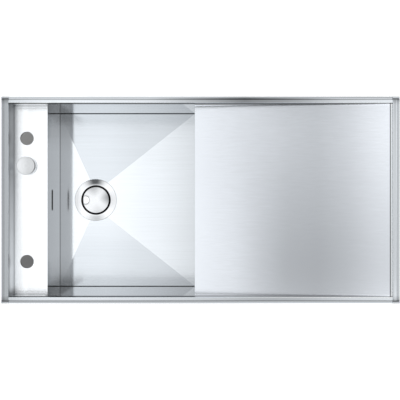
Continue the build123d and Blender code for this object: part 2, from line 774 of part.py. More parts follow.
cup_outer_radius = CUP_RADIUS + CUP_WALL
with BuildPart() as waste_cup:
    cup_outline = drain_outline(
        (0, cup_under_z),
        (cup_outer_radius, cup_under_z),
        (cup_outer_radius, flange_under_z),
        (FLANGE_RADIUS, flange_under_z),
        (FLANGE_RADIUS, flange_top_z),
        (CUP_RADIUS, throat_z),
        (CUP_RADIUS, cup_floor_z),
        (0, cup_floor_z),
    )
    revolve(cup_outline, axis=drain_axis)
    with BuildSketch(Plane.XY.offset(cup_under_z)):
        with Locations((drain_x, 0)):
            Circle(CLAMP_SHANK_RADIUS)
            with PolarLocations(CUP_HOLE_CIRCLE, CUP_HOLES):
                Circle(CUP_HOLE_RADIUS)
    extrude(amount=CUP_WALL, mode=Mode.SUBTRACT)
keep("waste_cup", waste_cup)

seal_outer_radius = FLANGE_RADIUS - SEAL_MARGIN
with BuildPart() as waste_upper_seal:
    with BuildSketch(Plane.XY.offset(seat_z)):
        with Locations((drain_x, 0)):
            Circle(seal_outer_radius)
            Circle(DRAIN_HOLE_RADIUS, mode=Mode.SUBTRACT)
    extrude(amount=WASTE_UPPER_SEAL_THICKNESS)
keep("waste_upper_seal", waste_upper_seal)

with BuildPart() as waste_lower_seal:
    with BuildSketch(Plane.XY.offset(body_top_z)):
        with Locations((drain_x, 0)):
            Circle(BODY_FLANGE_RADIUS - SEAL_MARGIN)
            Circle(body_bore_radius, mode=Mode.SUBTRACT)
    extrude(amount=WASTE_LOWER_SEAL_THICKNESS)
keep("waste_lower_seal", waste_lower_seal)

outlet_bore_radius = OUTLET_RADIUS - OUTLET_WALL
cone_outer_z = chamber_floor_z - BODY_WALL / 2
boss_under_z = cup_under_z - BODY_BOSS_HEIGHT
shaft_plane = Plane(origin=(lever_x, 0, lever_z), x_dir=(1, 0, 0), z_dir=(0, 1, 0))
spoke_reach = body_bore_radius + BODY_WALL / 2
port_plane = Plane(origin=(drain_x, 0, port_z), x_dir=(0, 1, 0), z_dir=(-1, 0, 0))
with BuildPart() as waste_body:
    body_outline = drain_outline(
        (0, chamber_floor_z),
        (body_radius, chamber_floor_z),
        (body_radius, body_top_z - BODY_FLANGE_THICKNESS),
        (BODY_FLANGE_RADIUS, body_top_z - BODY_FLANGE_THICKNESS),
        (BODY_FLANGE_RADIUS, body_top_z),
        (0, body_top_z),
    )
    revolve(body_outline, axis=drain_axis)
    with BuildSketch(port_plane):
        Circle(SPIGOT_RADIUS)
    extrude(amount=body_radius + PORT_LENGTH)
    with BuildSketch(shaft_plane):
        Circle(LEVER_BOSS_RADIUS)
    extrude(amount=LEVER_BOSS_END)
    chamber_outline = drain_outline(
        (0, chamber_floor_z),
        (body_bore_radius, chamber_floor_z),
        (body_bore_radius, body_top_z),
        (0, body_top_z),
    )
    revolve(chamber_outline, axis=drain_axis, mode=Mode.SUBTRACT)
    with BuildSketch(port_plane):
        Circle(SPIGOT_RADIUS - SPIGOT_WALL)
    extrude(amount=body_radius + PORT_LENGTH, mode=Mode.SUBTRACT)
    with BuildSketch(Plane.XY.offset(boss_under_z)):
        with Locations((drain_x, 0)):
            Circle(BODY_BOSS_RADIUS)
            with PolarLocations(spoke_reach / 2, BODY_SPOKES):
                Rectangle(spoke_reach, BODY_SPOKE_WIDTH)
            Circle(CLAMP_SHANK_RADIUS, mode=Mode.SUBTRACT)
    extrude(amount=BODY_BOSS_HEIGHT)
    with BuildSketch(shaft_plane):
        Circle(SHAFT_RADIUS + PIN_RUNNING_GAP)
    extrude(amount=LEVER_BOSS_END, mode=Mode.SUBTRACT)
keep("waste_body", waste_body)

with BuildPart() as waste_tail:
    tail_outline = drain_outline(
        (outlet_bore_radius, outlet_end_z),
        (OUTLET_RADIUS, outlet_end_z),
        (OUTLET_RADIUS, outlet_top_z - BODY_WALL / 2),
        (body_radius, cone_outer_z),
        (body_radius, chamber_floor_z),
        (body_bore_radius, chamber_floor_z),
        (outlet_bore_radius, outlet_top_z),
    )
    revolve(tail_outline, axis=drain_axis)
keep("waste_tail", waste_tail)

pin_top_z = basket_floor_z - BASKET_WALL
ball_z = lever_z - finger_rise / 2 + FINGER_NOSE_RADIUS + FINGER_PIN_GAP + PIN_RADIUS
with BuildPart() as clamp_screw:
    with BuildSketch(Plane.XY.offset(boss_under_z)):
        with Locations((drain_x, 0)):
            Circle(CLAMP_SHANK_RADIUS)
    extrude(amount=cup_floor_z - boss_under_z)
    with BuildSketch(Plane.XY.offset(cup_floor_z)):
        with Locations((drain_x, 0)):
            RegularPolygon(CLAMP_HEAD_RADIUS, 6)
    extrude(amount=CLAMP_HEAD_HEIGHT)
    with BuildSketch(Plane.XY.offset(boss_under_z)):
        with Locations((drain_x, 0)):
            Circle(PIN_RADIUS + PIN_RUNNING_GAP)
    extrude(amount=cup_floor_z + CLAMP_HEAD_HEIGHT - boss_under_z, mode=Mode.SUBTRACT)
keep("clamp_screw", clamp_screw)

with BuildPart() as lift_pin:
    with BuildSketch(Plane.XY.offset(ball_z)):
        with Locations((drain_x, 0)):
            Circle(PIN_RADIUS)
    extrude(amount=pin_top_z - ball_z)
    with Locations((drain_x, 0, ball_z)):
        Sphere(PIN_RADIUS)
keep("lift_pin", lift_pin)

# Lever that raises the pin, drawn at rest with its finger down

# Local x points at the lift pin and local y points up, turned with the lever
finger_plane = Plane(
    origin=(lever_x, FINGER_WIDTH / 2, lever_z),
    x_dir=(-cos(lever_rest), 0, -sin(lever_rest)),
    z_dir=(0, 1, 0),
)
# Local x points from the shaft to the crank's pin
crank_x_dir = (sin(lever_rest), 0, -cos(lever_rest))
crank_plane = Plane(origin=(lever_x, crank_near_y, lever_z), x_dir=crank_x_dir, z_dir=(0, 1, 0))
shaft_start_y = -FINGER_WIDTH / 2 - SHAFT_TAIL
with BuildPart() as lift_finger:
    with BuildSketch(finger_plane):
        Circle(LEVER_HUB_RADIUS)
        with Locations((FINGER_REACH / 2, 0)):
            SlotCenterToCenter(FINGER_REACH, 2 * FINGER_NOSE_RADIUS)
        Circle(SHAFT_RADIUS, mode=Mode.SUBTRACT)
    extrude(amount=-FINGER_WIDTH)
keep("lift_finger", lift_finger)

with BuildPart() as lever_shaft:
    with BuildSketch(Plane(origin=(lever_x, shaft_start_y, lever_z), z_dir=(0, 1, 0))):
        Circle(SHAFT_RADIUS)
    extrude(amount=crank_far_y + SHAFT_TAIL - shaft_start_y)
keep("lever_shaft", lever_shaft)

with BuildPart() as crank_arm:
    with BuildSketch(crank_plane):
        Circle(CRANK_HUB_RADIUS)
        with Locations((CRANK_RADIUS, 0)):
            Circle(CRANK_TIP_RADIUS)
        make_hull()
        Circle(SHAFT_RADIUS, mode=Mode.SUBTRACT)
    extrude(amount=CRANK_THICKNESS)
    with BuildSketch(crank_plane.offset(CRANK_THICKNESS)):
        with Locations((CRANK_RADIUS, 0)):
            Circle(CRANK_PIN_RADIUS)
    extrude(amount=2 * CRANK_SIDE_GAP + EYE_THICKNESS)
keep("crank_arm", crank_arm)

# Bracket on the lever's boss, which stops the cable's sheath

band_bottom = wire_z - BRACKET_TAB_HEIGHT / 2
band_top = wire_z + BRACKET_TAB_HEIGHT / 2
bracket_half_band = BRACKET_BAND / 2
bracket_far_y = wire_y + BRACKET_TAB_HEIGHT / 2
with BuildPart() as cable_bracket:
    with BuildSketch(Plane.XZ.offset(-LEVER_BOSS_END)):
        with BuildLine():
            Polyline(
                (tab_x - BRACKET_THICKNESS, band_bottom),
                (lever_x + bracket_half_band, band_bottom),
                (lever_x + bracket_half_band, lever_z + bracket_half_band),
                (lever_x - bracket_half_band, lever_z + bracket_half_band),
                (lever_x - bracket_half_band, band_top),
                (tab_x - BRACKET_THICKNESS, band_top),
                close=True,
            )
        make_face()
        with Locations((lever_x, lever_z)):
            Circle(SHAFT_RADIUS + PIN_RUNNING_GAP, mode=Mode.SUBTRACT)
    extrude(amount=-BRACKET_THICKNESS)
    with BuildSketch(Plane.XZ.offset(-LEVER_BOSS_END)):
        with Locations((tab_x - BRACKET_THICKNESS / 2, wire_z)):
            Rectangle(BRACKET_THICKNESS, BRACKET_TAB_HEIGHT)
    extrude(amount=LEVER_BOSS_END - bracket_far_y)
    with BuildSketch(Plane(origin=(tab_x, wire_y, wire_z), z_dir=(-1, 0, 0))):
        Circle(SHEATH_RADIUS)
    extrude(amount=BRACKET_THICKNESS, mode=Mode.SUBTRACT)
keep("cable_bracket", cable_bracket)

# Pull wire: the eye on the crank's pin and the stretch that slides in the sheath

wire_end_x = tab_x - BRACKET_THICKNESS - WIRE_TAIL
eye_hole_radius = CRANK_PIN_RADIUS + EYE_PLAY
with BuildPart() as pull_wire:
    with BuildSketch(Plane(origin=(eye_x, wire_y - EYE_THICKNESS / 2, wire_z), z_dir=(0, 1, 0))):
        Circle(EYE_RADIUS)
    extrude(amount=EYE_THICKNESS)
    with BuildSketch(Plane(origin=(eye_x, wire_y, wire_z), z_dir=(-1, 0, 0))):
        Circle(WIRE_RADIUS)
    extrude(amount=eye_x - wire_end_x)
    with BuildSketch(Plane(origin=(eye_x, wire_y - EYE_THICKNESS / 2, wire_z), z_dir=(0, 1, 0))):
        Circle(eye_hole_radius)
    extrude(amount=EYE_THICKNESS, mode=Mode.SUBTRACT)
keep("pull_wire", pull_wire)

# Cable sheath from the control's gland to the bracket, held at both ends

gland_x = hole_x - drum_wire_radius
gland_end_y = knob_y - HOUSING_RADIUS - GLAND_LENGTH
sheath_start_y = gland_end_y + GLAND_SOCKET
sheath_turn_y = gland_end_y - SHEATH_LEAD_OUT
sheath_route = [
    (gland_x, sheath_start_y, drum_mid_z),
    (gland_x, sheath_turn_y, drum_mid_z),
    (gland_x + SHEATH_SIDE_STEP, sheath_turn_y + SHEATH_RETURN, drum_mid_z - SHEATH_DROP),
    (tab_x - SHEATH_RUN_IN, wire_y, wire_z),
    (tab_x, wire_y, wire_z),
]
with BuildLine() as sheath_path:
    FilletPolyline(*sheath_route, radius=SHEATH_BENDS)
sheath_wire = sheath_path.wire()
with BuildPart() as cable_sheath:
    with BuildSketch(Plane(origin=sheath_route[0], z_dir=(0, -1, 0))):
        Circle(SHEATH_RADIUS)
        Circle(SHEATH_BORE_RADIUS, mode=Mode.SUBTRACT)
    sweep(path=sheath_wire)
keep("cable_sheath", cable_sheath)
sheath_section = pi * (SHEATH_RADIUS**2 - SHEATH_BORE_RADIUS**2)
sheath_ratio = cable_sheath.part.volume / (sheath_section * sheath_wire.length)
print("cable sheath", round(sheath_wire.length, 1), "long, bends", SHEATH_BENDS)
print("cable sheath volume over section times length", round(sheath_ratio, 4))

# Basket, its seal and the lid

rim_under_z = lid_under_z - BASKET_RIM_HEIGHT
with BuildPart() as strainer_basket:
    basket_outline = drain_outline(
        (0, pin_top_z),
        (BASKET_RADIUS, pin_top_z),
        (BASKET_RADIUS, rim_under_z),
        (PLUG_RADIUS, rim_under_z),
        (PLUG_RADIUS, lid_under_z),
        (PLUG_RADIUS - BASKET_WALL, lid_under_z),
        (PLUG_RADIUS - BASKET_WALL, rim_under_z + BASKET_WALL),
        (BASKET_RADIUS - BASKET_WALL, rim_under_z + BASKET_WALL),
        (BASKET_RADIUS - BASKET_WALL, basket_floor_z),
        (0, basket_floor_z),
    )
    revolve(basket_outline, axis=drain_axis)
    # A shelf under the lid's notch, so that a fingertip can hook the lid
    with BuildSketch(Plane.XY.offset(rim_under_z)):
        with Locations((drain_x, 0)):
            Circle(BASKET_RADIUS)
        with Locations((drain_x - FINGER_SHELF_EDGE + BASKET_RADIUS, 0)):
            Rectangle(2 * BASKET_RADIUS, 2 * BASKET_RADIUS, mode=Mode.SUBTRACT)
    extrude(amount=BASKET_WALL)
    with BuildSketch(Plane.XY.offset(pin_top_z)):
        with Locations((drain_x, 0)):
            for ring_radius, hole_count in zip(BASKET_RING_RADII, BASKET_RING_COUNTS):
                with PolarLocations(ring_radius, hole_count):
                    Circle(BASKET_HOLE_RADIUS)
    extrude(amount=BASKET_WALL, mode=Mode.SUBTRACT)
    with BuildSketch(Plane.XY.offset(pin_top_z)):
        with Locations((drain_x, 0)):
            Circle(BASKET_SOCKET_RADIUS)
            Circle(PIN_RADIUS + BASKET_SOCKET_GAP, mode=Mode.SUBTRACT)
    extrude(amount=-BASKET_SOCKET_LENGTH)
keep("strainer_basket", strainer_basket)

with BuildPart() as plug_seal:
    with BuildSketch(Plane.XY.offset(lid_under_z + PLUG_SEAL_PROUD - PLUG_SEAL_HEIGHT)):
        with Locations((drain_x, 0)):
            Circle(PLUG_SEAL_RADIUS)
            Circle(PLUG_RADIUS, mode=Mode.SUBTRACT)
    extrude(amount=PLUG_SEAL_HEIGHT)
keep("plug_seal", plug_seal)

lid_radius = PLUG_RADIUS - LID_GAP
ring_radius = PLUG_RADIUS - BASKET_WALL - LID_RING_GAP
notch_length = lid_radius - NOTCH_CENTRE + NOTCH_CORNER


def finger_notch():
    """Round-ended notch open at the lid's edge on the side of the tap deck."""
    with Locations((drain_x - NOTCH_CENTRE, 0)):
        Circle(NOTCH_RADIUS, mode=Mode.SUBTRACT)
    with Locations((drain_x - NOTCH_CENTRE - notch_length / 2, 0)):
        Rectangle(notch_length, 2 * NOTCH_RADIUS, mode=Mode.SUBTRACT)


with BuildPart() as strainer_lid:
    with BuildSketch(Plane.XY.offset(lid_under_z)):
        with Locations((drain_x, 0)):
            Circle(lid_radius)
        finger_notch()
    extrude(amount=LID_THICKNESS)
    mouth_edges = strainer_lid.edges().filter_by(Axis.Z).sort_by(Axis.X)[:2]
    fillet(mouth_edges, NOTCH_CORNER)
    fillet(strainer_lid.faces().sort_by(Axis.Z)[-1].edges(), LID_EDGE_RADIUS)
    with BuildSketch(Plane.XY.offset(lid_under_z)):
        with Locations((drain_x, 0)):
            Circle(ring_radius)
            Circle(ring_radius - BASKET_WALL, mode=Mode.SUBTRACT)
        finger_notch()
    extrude(amount=-LID_RING_HEIGHT)
keep("strainer_lid", strainer_lid)

# Control knob, its spindle and the housing under the deck

knob_section = Plane(origin=(hole_x, knob_y, 0), x_dir=(1, 0, 0), z_dir=(0, -1, 0))
knob_axis = Axis((hole_x, knob_y, 0), (0, 0, 1))
knob_top_z = deck_z + KNOB_TOP
knob_roof_z = knob_top_z - KNOB_TOP_THICKNESS
base_top_z = deck_z + KNOB_BASE_THICKNESS
knob_bore_radius = KNOB_RADIUS - KNOB_SKIRT
neck_bore_radius = SPINDLE_RADIUS + SPINDLE_GAP
housing_bore_radius = HOUSING_RADIUS - HOUSING_WALL
drum_end_z = drum_top_z - DRUM_HEIGHT

with BuildPart() as control_knob:
    with BuildSketch(knob_section) as section:
        with BuildLine():
            Polyline(
                (knob_bore_radius, base_top_z + KNOB_GAP),
                (KNOB_RADIUS, base_top_z + KNOB_GAP),
                (KNOB_RADIUS, knob_top_z),
                (0, knob_top_z),
                (0, knob_roof_z),
                (SPINDLE_RADIUS, knob_roof_z),
                (SPINDLE_RADIUS, neck_top_z + KNOB_GAP),
                (KNOB_BOSS_RADIUS, neck_top_z + KNOB_GAP),
                (KNOB_BOSS_RADIUS, knob_roof_z),
                (knob_bore_radius, knob_roof_z),
                close=True,
            )
        make_face()
        fillet(section.vertices().sort_by_distance((KNOB_RADIUS, knob_top_z))[0], KNOB_EDGE_RADIUS)
    revolve(axis=knob_axis)
keep("control_knob", control_knob)

with BuildPart() as knob_base:
    with BuildSketch(Plane.XY.offset(deck_z)):
        with Locations((hole_x, knob_y)):
            Circle(KNOB_BASE_RADIUS)
            Circle(neck_hole_radius, mode=Mode.SUBTRACT)
    extrude(amount=KNOB_BASE_THICKNESS)
keep("knob_base", knob_base)

with BuildPart() as knob_nut:
    with BuildSketch(Plane.XY.offset(base_top_z)):
        with Locations((hole_x, knob_y)):
            RegularPolygon(KNOB_NUT_ACROSS_FLATS / sqrt(3), 6)
            Circle(NECK_RADIUS, mode=Mode.SUBTRACT)
    extrude(amount=KNOB_NUT_HEIGHT)
keep("knob_nut", knob_nut)

with BuildPart() as knob_spindle:
    with BuildSketch(Plane.XY.offset(drum_end_z - SPINDLE_TAIL)):
        with Locations((hole_x, knob_y)):
            Circle(SPINDLE_RADIUS)
    extrude(amount=knob_roof_z - drum_end_z + SPINDLE_TAIL)
keep("knob_spindle", knob_spindle)

groove_radius = drum_wire_radius - WIRE_RADIUS
groove_top_z = drum_mid_z + DRUM_GROOVE_HEIGHT / 2
groove_end_z = drum_mid_z - DRUM_GROOVE_HEIGHT / 2
with BuildPart() as cable_drum:
    with BuildSketch(knob_section):
        with BuildLine():
            Polyline(
                (SPINDLE_RADIUS, drum_end_z),
                (DRUM_RADIUS, drum_end_z),
                (DRUM_RADIUS, groove_end_z),
                (groove_radius, groove_end_z),
                (groove_radius, groove_top_z),
                (DRUM_RADIUS, groove_top_z),
                (DRUM_RADIUS, drum_top_z),
                (SPINDLE_RADIUS, drum_top_z),
                close=True,
            )
        make_face()
    revolve(axis=knob_axis)
keep("cable_drum", cable_drum)

gland_plane = Plane(origin=(gland_x, knob_y, drum_mid_z), z_dir=(0, -1, 0))
gland_reach = knob_y - gland_end_y
with BuildPart() as control_housing:
    with BuildSketch(knob_section):
        with BuildLine():
            Polyline(
                (neck_bore_radius, neck_top_z),
                (NECK_RADIUS, neck_top_z),
                (NECK_RADIUS, housing_top_z),
                (HOUSING_RADIUS, housing_top_z),
                (HOUSING_RADIUS, housing_end_z),
                (neck_bore_radius, housing_end_z),
                close=True,
            )
        make_face()
    revolve(axis=knob_axis)
    with BuildSketch(gland_plane):
        Circle(GLAND_RADIUS)
    extrude(amount=gland_reach)
    with BuildSketch(Plane.XY.offset(housing_end_z)):
        with Locations((hole_x, knob_y)):
            Circle(housing_bore_radius)
    extrude(amount=HOUSING_CAVITY, mode=Mode.SUBTRACT)
    with BuildSketch(gland_plane):
        Circle(WIRE_RADIUS + GLAND_WIRE_GAP)
    extrude(amount=gland_reach, mode=Mode.SUBTRACT)
    with BuildSketch(gland_plane.offset(gland_reach)):
        Circle(SHEATH_RADIUS)
    extrude(amount=-GLAND_SOCKET, mode=Mode.SUBTRACT)
keep("control_housing", control_housing)

with BuildPart() as housing_cover:
    with BuildSketch(Plane.XY.offset(housing_end_z - HOUSING_COVER_THICKNESS)):
        with Locations((hole_x, knob_y)):
            Circle(HOUSING_RADIUS)
    extrude(amount=HOUSING_COVER_THICKNESS)
keep("housing_cover", housing_cover)

with BuildPart() as control_gasket:
    with BuildSketch(Plane.XY.offset(housing_top_z)):
        with Locations((hole_x, knob_y)):
            Circle(HOUSING_RADIUS - SEAL_MARGIN)
            Circle(neck_hole_radius, mode=Mode.SUBTRACT)
    extrude(amount=CONTROL_GASKET_THICKNESS)
keep("control_gasket", control_gasket)

print("finger rise", round(finger_rise, 3), "wire travel", round(wire_travel, 3))

os.makedirs("parts", exist_ok=True)
for name, piece in pieces.items():
    export_step(piece, f"parts/{name}.step")
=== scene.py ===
from math import pi, radians

import bpy
from mathutils import Matrix, Vector


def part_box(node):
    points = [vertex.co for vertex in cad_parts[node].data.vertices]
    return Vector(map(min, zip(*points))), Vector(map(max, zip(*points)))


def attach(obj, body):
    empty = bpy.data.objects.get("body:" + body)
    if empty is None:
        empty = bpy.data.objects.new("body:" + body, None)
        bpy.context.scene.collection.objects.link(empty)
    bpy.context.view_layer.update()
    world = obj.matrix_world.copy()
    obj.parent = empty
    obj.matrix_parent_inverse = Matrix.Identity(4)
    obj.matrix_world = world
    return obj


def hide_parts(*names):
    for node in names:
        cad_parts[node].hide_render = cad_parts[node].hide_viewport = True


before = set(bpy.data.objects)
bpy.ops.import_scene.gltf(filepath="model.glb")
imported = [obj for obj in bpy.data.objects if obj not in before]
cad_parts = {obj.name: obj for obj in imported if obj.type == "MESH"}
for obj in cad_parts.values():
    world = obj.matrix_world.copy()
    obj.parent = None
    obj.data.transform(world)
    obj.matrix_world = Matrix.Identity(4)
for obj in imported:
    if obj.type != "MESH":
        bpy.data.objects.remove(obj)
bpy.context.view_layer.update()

# Places on the sink, in metres

DRAIN_CENTRE = (-0.295, 0.0, 0.0)
KNOB_CENTRE = (-0.448, 0.088, 0.0)
RIM_TOP = 0.006
HALF_LENGTH = 0.500
HALF_WIDTH = 0.260
INSIDE_X = 0.481
DECK_Z = -0.042
SLOT_HALF_LENGTH = 0.027
SLOT_BAND = (-0.1020, -0.0858)
GROOVE_NEAR = 0.0070
GROOVE_FAR = 0.0092
BOWL_LEFT = -0.395
BOWL_RIGHT = -0.015
BOWL_HALF_WIDTH = 0.243
VALLEY_HALF_LENGTH = 0.022
LID_RADIUS = 0.0374
NOTCH_X = -0.3245
NOTCH_RADIUS = 0.0105
KNOB_RADIUS = 0.0232
FLANGE_RADIUS = 0.0585
CUP_RADIUS = 0.0415
SEAL_GROOVE_FOOT = -0.1920
OUTLET_THREAD_TOP = -0.2815
THREAD_PITCH = 0.0023

# Hose, sheath and pad sizes

HOSE_RADIUS = 0.0116
HOSE_CREST = 0.0136
HOSE_BORE = 0.0100
HOSE_BEND_START = 0.0594
HOSE_BEND_CORNER = 0.0246
HOSE_PITCH = 0.005
HOSE_RIBS = 30
HOSE_SIDES = 40
HOSE_BORE_STEPS = 64
# Rise of each step of one rib, and the radius that it reaches
HOSE_RIB_STEPS = [
    (0.00040, 0.0122), (0.00035, 0.0131), (0.00035, HOSE_CREST), (0.00100, HOSE_CREST),
    (0.00035, 0.0131), (0.00035, 0.0122), (0.00040, HOSE_RADIUS), (0.00180, HOSE_RADIUS),
]
SHEATH_RADIUS = 0.0025
SHEATH_WALL = 0.00145
SHEATH_ROUNDNESS = 5
SHEATH_ROUTE = [
    (-0.4543, 0.0660, -0.0647),
    (-0.4543, 0.0480, -0.0647),
    (-0.4543, 0.0140, -0.0647),
    (-0.4503, 0.0160, -0.2247),
    (-0.3850, 0.0585, -0.27937),
    (-0.3450, 0.0585, -0.27937),
    (-0.3210, 0.0585, -0.27937),
]
ROUTE_RESOLUTION = 24
TUBE_SMOOTH_ANGLE = radians(50)
MERGE_DISTANCE = 0.00005
PAD_THICKNESS = 0.003
PAD_BORDER = 0.007
PAD_RELIEF = 0.0009
PAD_GROOVE = 0.0016
PAD_CELL = 0.0125
PAD_EDGE_ROUND = 0.0003
PAD_SMOOTH_ANGLE = radians(40)
WALL_PAD = (0.250, 0.090)
WALL_PAD_Z = -0.118
WALL_OUTSIDE = 0.2442
BOWL_END_OUTSIDE = -0.0138
DRAINER_PAD = (0.078, 0.380)
DRAINER_PAD_PLACES = (0.1675, 0.3325)
DRAINER_UNDERSIDE = (-0.015, 0.0, -0.0352)
DRAINER_RISE = 0.031
DRAINER_RUN = 0.496


# Shader node helpers

def add_node(tree, kind, **settings):
    node = tree.nodes.new(kind)
    for name, value in settings.items():
        setattr(node, name, value)
    return node


def feed(tree, socket, value):
    """Link another socket to a socket, or set a plain value on it."""
    if isinstance(value, bpy.types.NodeSocket):
        tree.links.new(value, socket)
    else:
        socket.default_value = value


def add_math(tree, operation, first, second=0.0):
    """A maths node whose two inputs are sockets or plain numbers."""
    node = add_node(tree, "ShaderNodeMath", operation=operation)
    feed(tree, node.inputs[0], first)
    feed(tree, node.inputs[1], second)
    return node.outputs[0]


def add_vector_math(tree, operation, first, second):
    """A vector maths node whose inputs are sockets or plain vectors."""
    node = add_node(tree, "ShaderNodeVectorMath", operation=operation)
    feed(tree, node.inputs[0], first)
    feed(tree, node.inputs[1], second)
    return node.outputs[0]


def add_weighted(tree, *parts):
    """The sum of several values, each times its weight."""
    total = None
    for value, weight in parts:
        part = add_math(tree, "MULTIPLY", value, weight)
        total = part if total is None else add_math(tree, "ADD", total, part)
    return total


def add_noise(tree, vector, scale, detail=2.0):
    node = add_node(tree, "ShaderNodeTexNoise")
    node.inputs["Scale"].default_value = scale
    node.inputs["Detail"].default_value = detail
    tree.links.new(vector, node.inputs["Vector"])
    return node.outputs["Fac"]


def add_range(tree, value, start, end, at_start=0.0, at_end=1.0):
    """Stretch a value that goes from start to end, and hold it beyond them."""
    node = add_node(tree, "ShaderNodeMapRange", clamp=True)
    feed(tree, node.inputs["Value"], value)
    feed(tree, node.inputs["From Min"], start)
    feed(tree, node.inputs["From Max"], end)
    feed(tree, node.inputs["To Min"], at_start)
    feed(tree, node.inputs["To Max"], at_end)
    return node.outputs["Result"]


def add_mix(tree, factor, first, second, blend="MIX"):
    """Mix two colours, each a socket or a plain colour."""
    node = add_node(tree, "ShaderNodeMix", data_type="RGBA", blend_type=blend)
    feed(tree, node.inputs["Factor"], factor)
    colours = [socket for socket in node.inputs if socket.type == "RGBA"]
    feed(tree, colours[0], first)
    feed(tree, colours[1], second)
    return [socket for socket in node.outputs if socket.type == "RGBA"][0]


def object_place(tree):
    """Object coordinates of the surface."""
    return add_node(tree, "ShaderNodeTexCoord").outputs["Object"]


def split(tree, vector):
    """A vector's X, Y and Z."""
    parts = add_node(tree, "ShaderNodeSeparateXYZ")
    tree.links.new(vector, parts.inputs[0])
    return parts.outputs


def start_group(name, inputs, outputs):
    """A shader node group with named sockets, and its two ends."""
    group = bpy.data.node_groups.new(name, "ShaderNodeTree")
    for label, kind, value in inputs:
        socket = group.interface.new_socket(name=label, in_out="INPUT", socket_type=kind)
        socket.default_value = value
    for label, kind in outputs:
        group.interface.new_socket(name=label, in_out="OUTPUT", socket_type=kind)
    return group, add_node(group, "NodeGroupInput"), add_node(group, "NodeGroupOutput")


FINISH_OUTPUTS = [
    ("Color", "NodeSocketColor"),
    ("Roughness", "NodeSocketFloat"),
    ("Height", "NodeSocketFloat"),
]
FINISH_INPUTS = [
    ("Pale", "NodeSocketColor", (0.8, 0.8, 0.8, 1)),
    ("Shade", "NodeSocketColor", (0.6, 0.6, 0.6, 1)),
    ("Smooth", "NodeSocketFloat", 0.2),
    ("Rough", "NodeSocketFloat", 0.3),
]


def close_group(group, entry, leave, tone, height):
    """Turn a tone from 0 to 1 into the group's colour and roughness."""
    colour = add_mix(group, tone, entry.outputs["Shade"], entry.outputs["Pale"])
    roughness = add_range(group, tone, 0.0, 1.0, entry.outputs["Rough"], entry.outputs["Smooth"])
    group.links.new(colour, leave.inputs["Color"])
    group.links.new(roughness, leave.inputs["Roughness"])
    group.links.new(height, leave.inputs["Height"])


# Finishes shared by several materials

LENGTHWISE = (8.0, 2400.0, 2400.0)
CROSSWISE = (2400.0, 8.0, 2400.0)
STREAK_STRETCH = (0.5, 0.2, 0.2)


def brushed_group():
    """Fine scratches drawn out along one direction, long streaks and a cloudy handling bloom."""
    inputs = FINISH_INPUTS + [("Grain", "NodeSocketVector", LENGTHWISE)]
    group, entry, leave = start_group("Brushed grain", inputs, FINISH_OUTPUTS)
    place = object_place(group)
    drawn = add_vector_math(group, "MULTIPLY", place, entry.outputs["Grain"])
    longer = add_vector_math(group, "MULTIPLY", drawn, STREAK_STRETCH)
    scratches = add_noise(group, drawn, scale=1.0)
    streaks = add_noise(group, longer, scale=1.0)
    bloom = add_noise(group, place, scale=5.0)
    total = add_weighted(group, (scratches, 0.45), (streaks, 0.35), (bloom, 0.20))
    tone = add_range(group, total, start=0.34, end=0.66)
    close_group(group, entry, leave, tone, scratches)
    return group


def turned_group():
    """Fine rings round an upright axis, with dark fans of painted reflection, as spun steel shows them."""
    inputs = FINISH_INPUTS + [
        ("Centre", "NodeSocketVector", DRAIN_CENTRE),
        ("Fan Turn", "NodeSocketFloat", 0.0),
        ("Fan Sharpness", "NodeSocketFloat", 9.0),
        ("Fan Start", "NodeSocketFloat", 0.0),
        ("Fan End", "NodeSocketFloat", 0.04),
        ("Rear Fan", "NodeSocketFloat", 0.3),
        ("Right Fan", "NodeSocketFloat", 0.3),
        ("Front Fan", "NodeSocketFloat", 0.3),
    ]
    group, entry, leave = start_group("Turned rings", inputs, FINISH_OUTPUTS)
    offset = add_vector_math(group, "SUBTRACT", object_place(group), entry.outputs["Centre"])
    across, along, up = split(group, offset)
    squared = add_math(group, "ADD", add_math(group, "MULTIPLY", across, across),
                       add_math(group, "MULTIPLY", along, along))
    radius = add_math(group, "POWER", squared, 0.5)
    spread = add_node(group, "ShaderNodeCombineXYZ")
    group.links.new(radius, spread.inputs["X"])
    group.links.new(up, spread.inputs["Y"])
    rings = add_noise(group, spread.outputs[0], scale=1400.0)
    reach = add_range(group, radius, entry.outputs["Fan Start"], entry.outputs["Fan End"])
    turn = add_math(group, "ARCTAN2", along, across)
    bearing = add_math(group, "SUBTRACT", turn, entry.outputs["Fan Turn"])
    to_right = add_math(group, "COSINE", bearing)
    to_rear = add_math(group, "SINE", bearing)
    to_front = add_math(group, "MULTIPLY", to_rear, -1.0)
    # Dark fans to the rear, right and front: painted reflection
    fans = []
    for heading, name in ((to_rear, "Rear Fan"), (to_right, "Right Fan"), (to_front, "Front Fan")):
        ahead = add_math(group, "MAXIMUM", heading, 0.0)
        fans.append((add_math(group, "POWER", ahead, entry.outputs["Fan Sharpness"]), entry.outputs[name]))
    painted_fans = add_math(group, "MULTIPLY", add_weighted(group, *fans), reach)
    lightened = add_range(group, rings, start=0.3, end=0.7, at_start=0.84, at_end=1.0)
    tone = add_math(group, "SUBTRACT", lightened, painted_fans)
    close_group(group, entry, leave, add_range(group, tone, 0.0, 1.0), rings)
    return group


def moulded_group():
    """Spark-eroded mould grain with soft flow marks."""
    inputs = FINISH_INPUTS + [("Grain", "NodeSocketFloat", 1400.0)]
    group, entry, leave = start_group("Moulded grain", inputs, FINISH_OUTPUTS)
    place = object_place(group)
    enlarged = add_node(group, "ShaderNodeVectorMath", operation="SCALE")
    group.links.new(place, enlarged.inputs[0])
    group.links.new(entry.outputs["Grain"], enlarged.inputs["Scale"])
    grain = add_noise(group, enlarged.outputs[0], scale=1.0)
    flow = add_noise(group, place, scale=26.0, detail=3.0)
    mixed = add_weighted(group, (grain, 0.45), (flow, 0.55))
    tone = add_range(group, mixed, start=0.3, end=0.7)
    close_group(group, entry, leave, tone, grain)
    return group


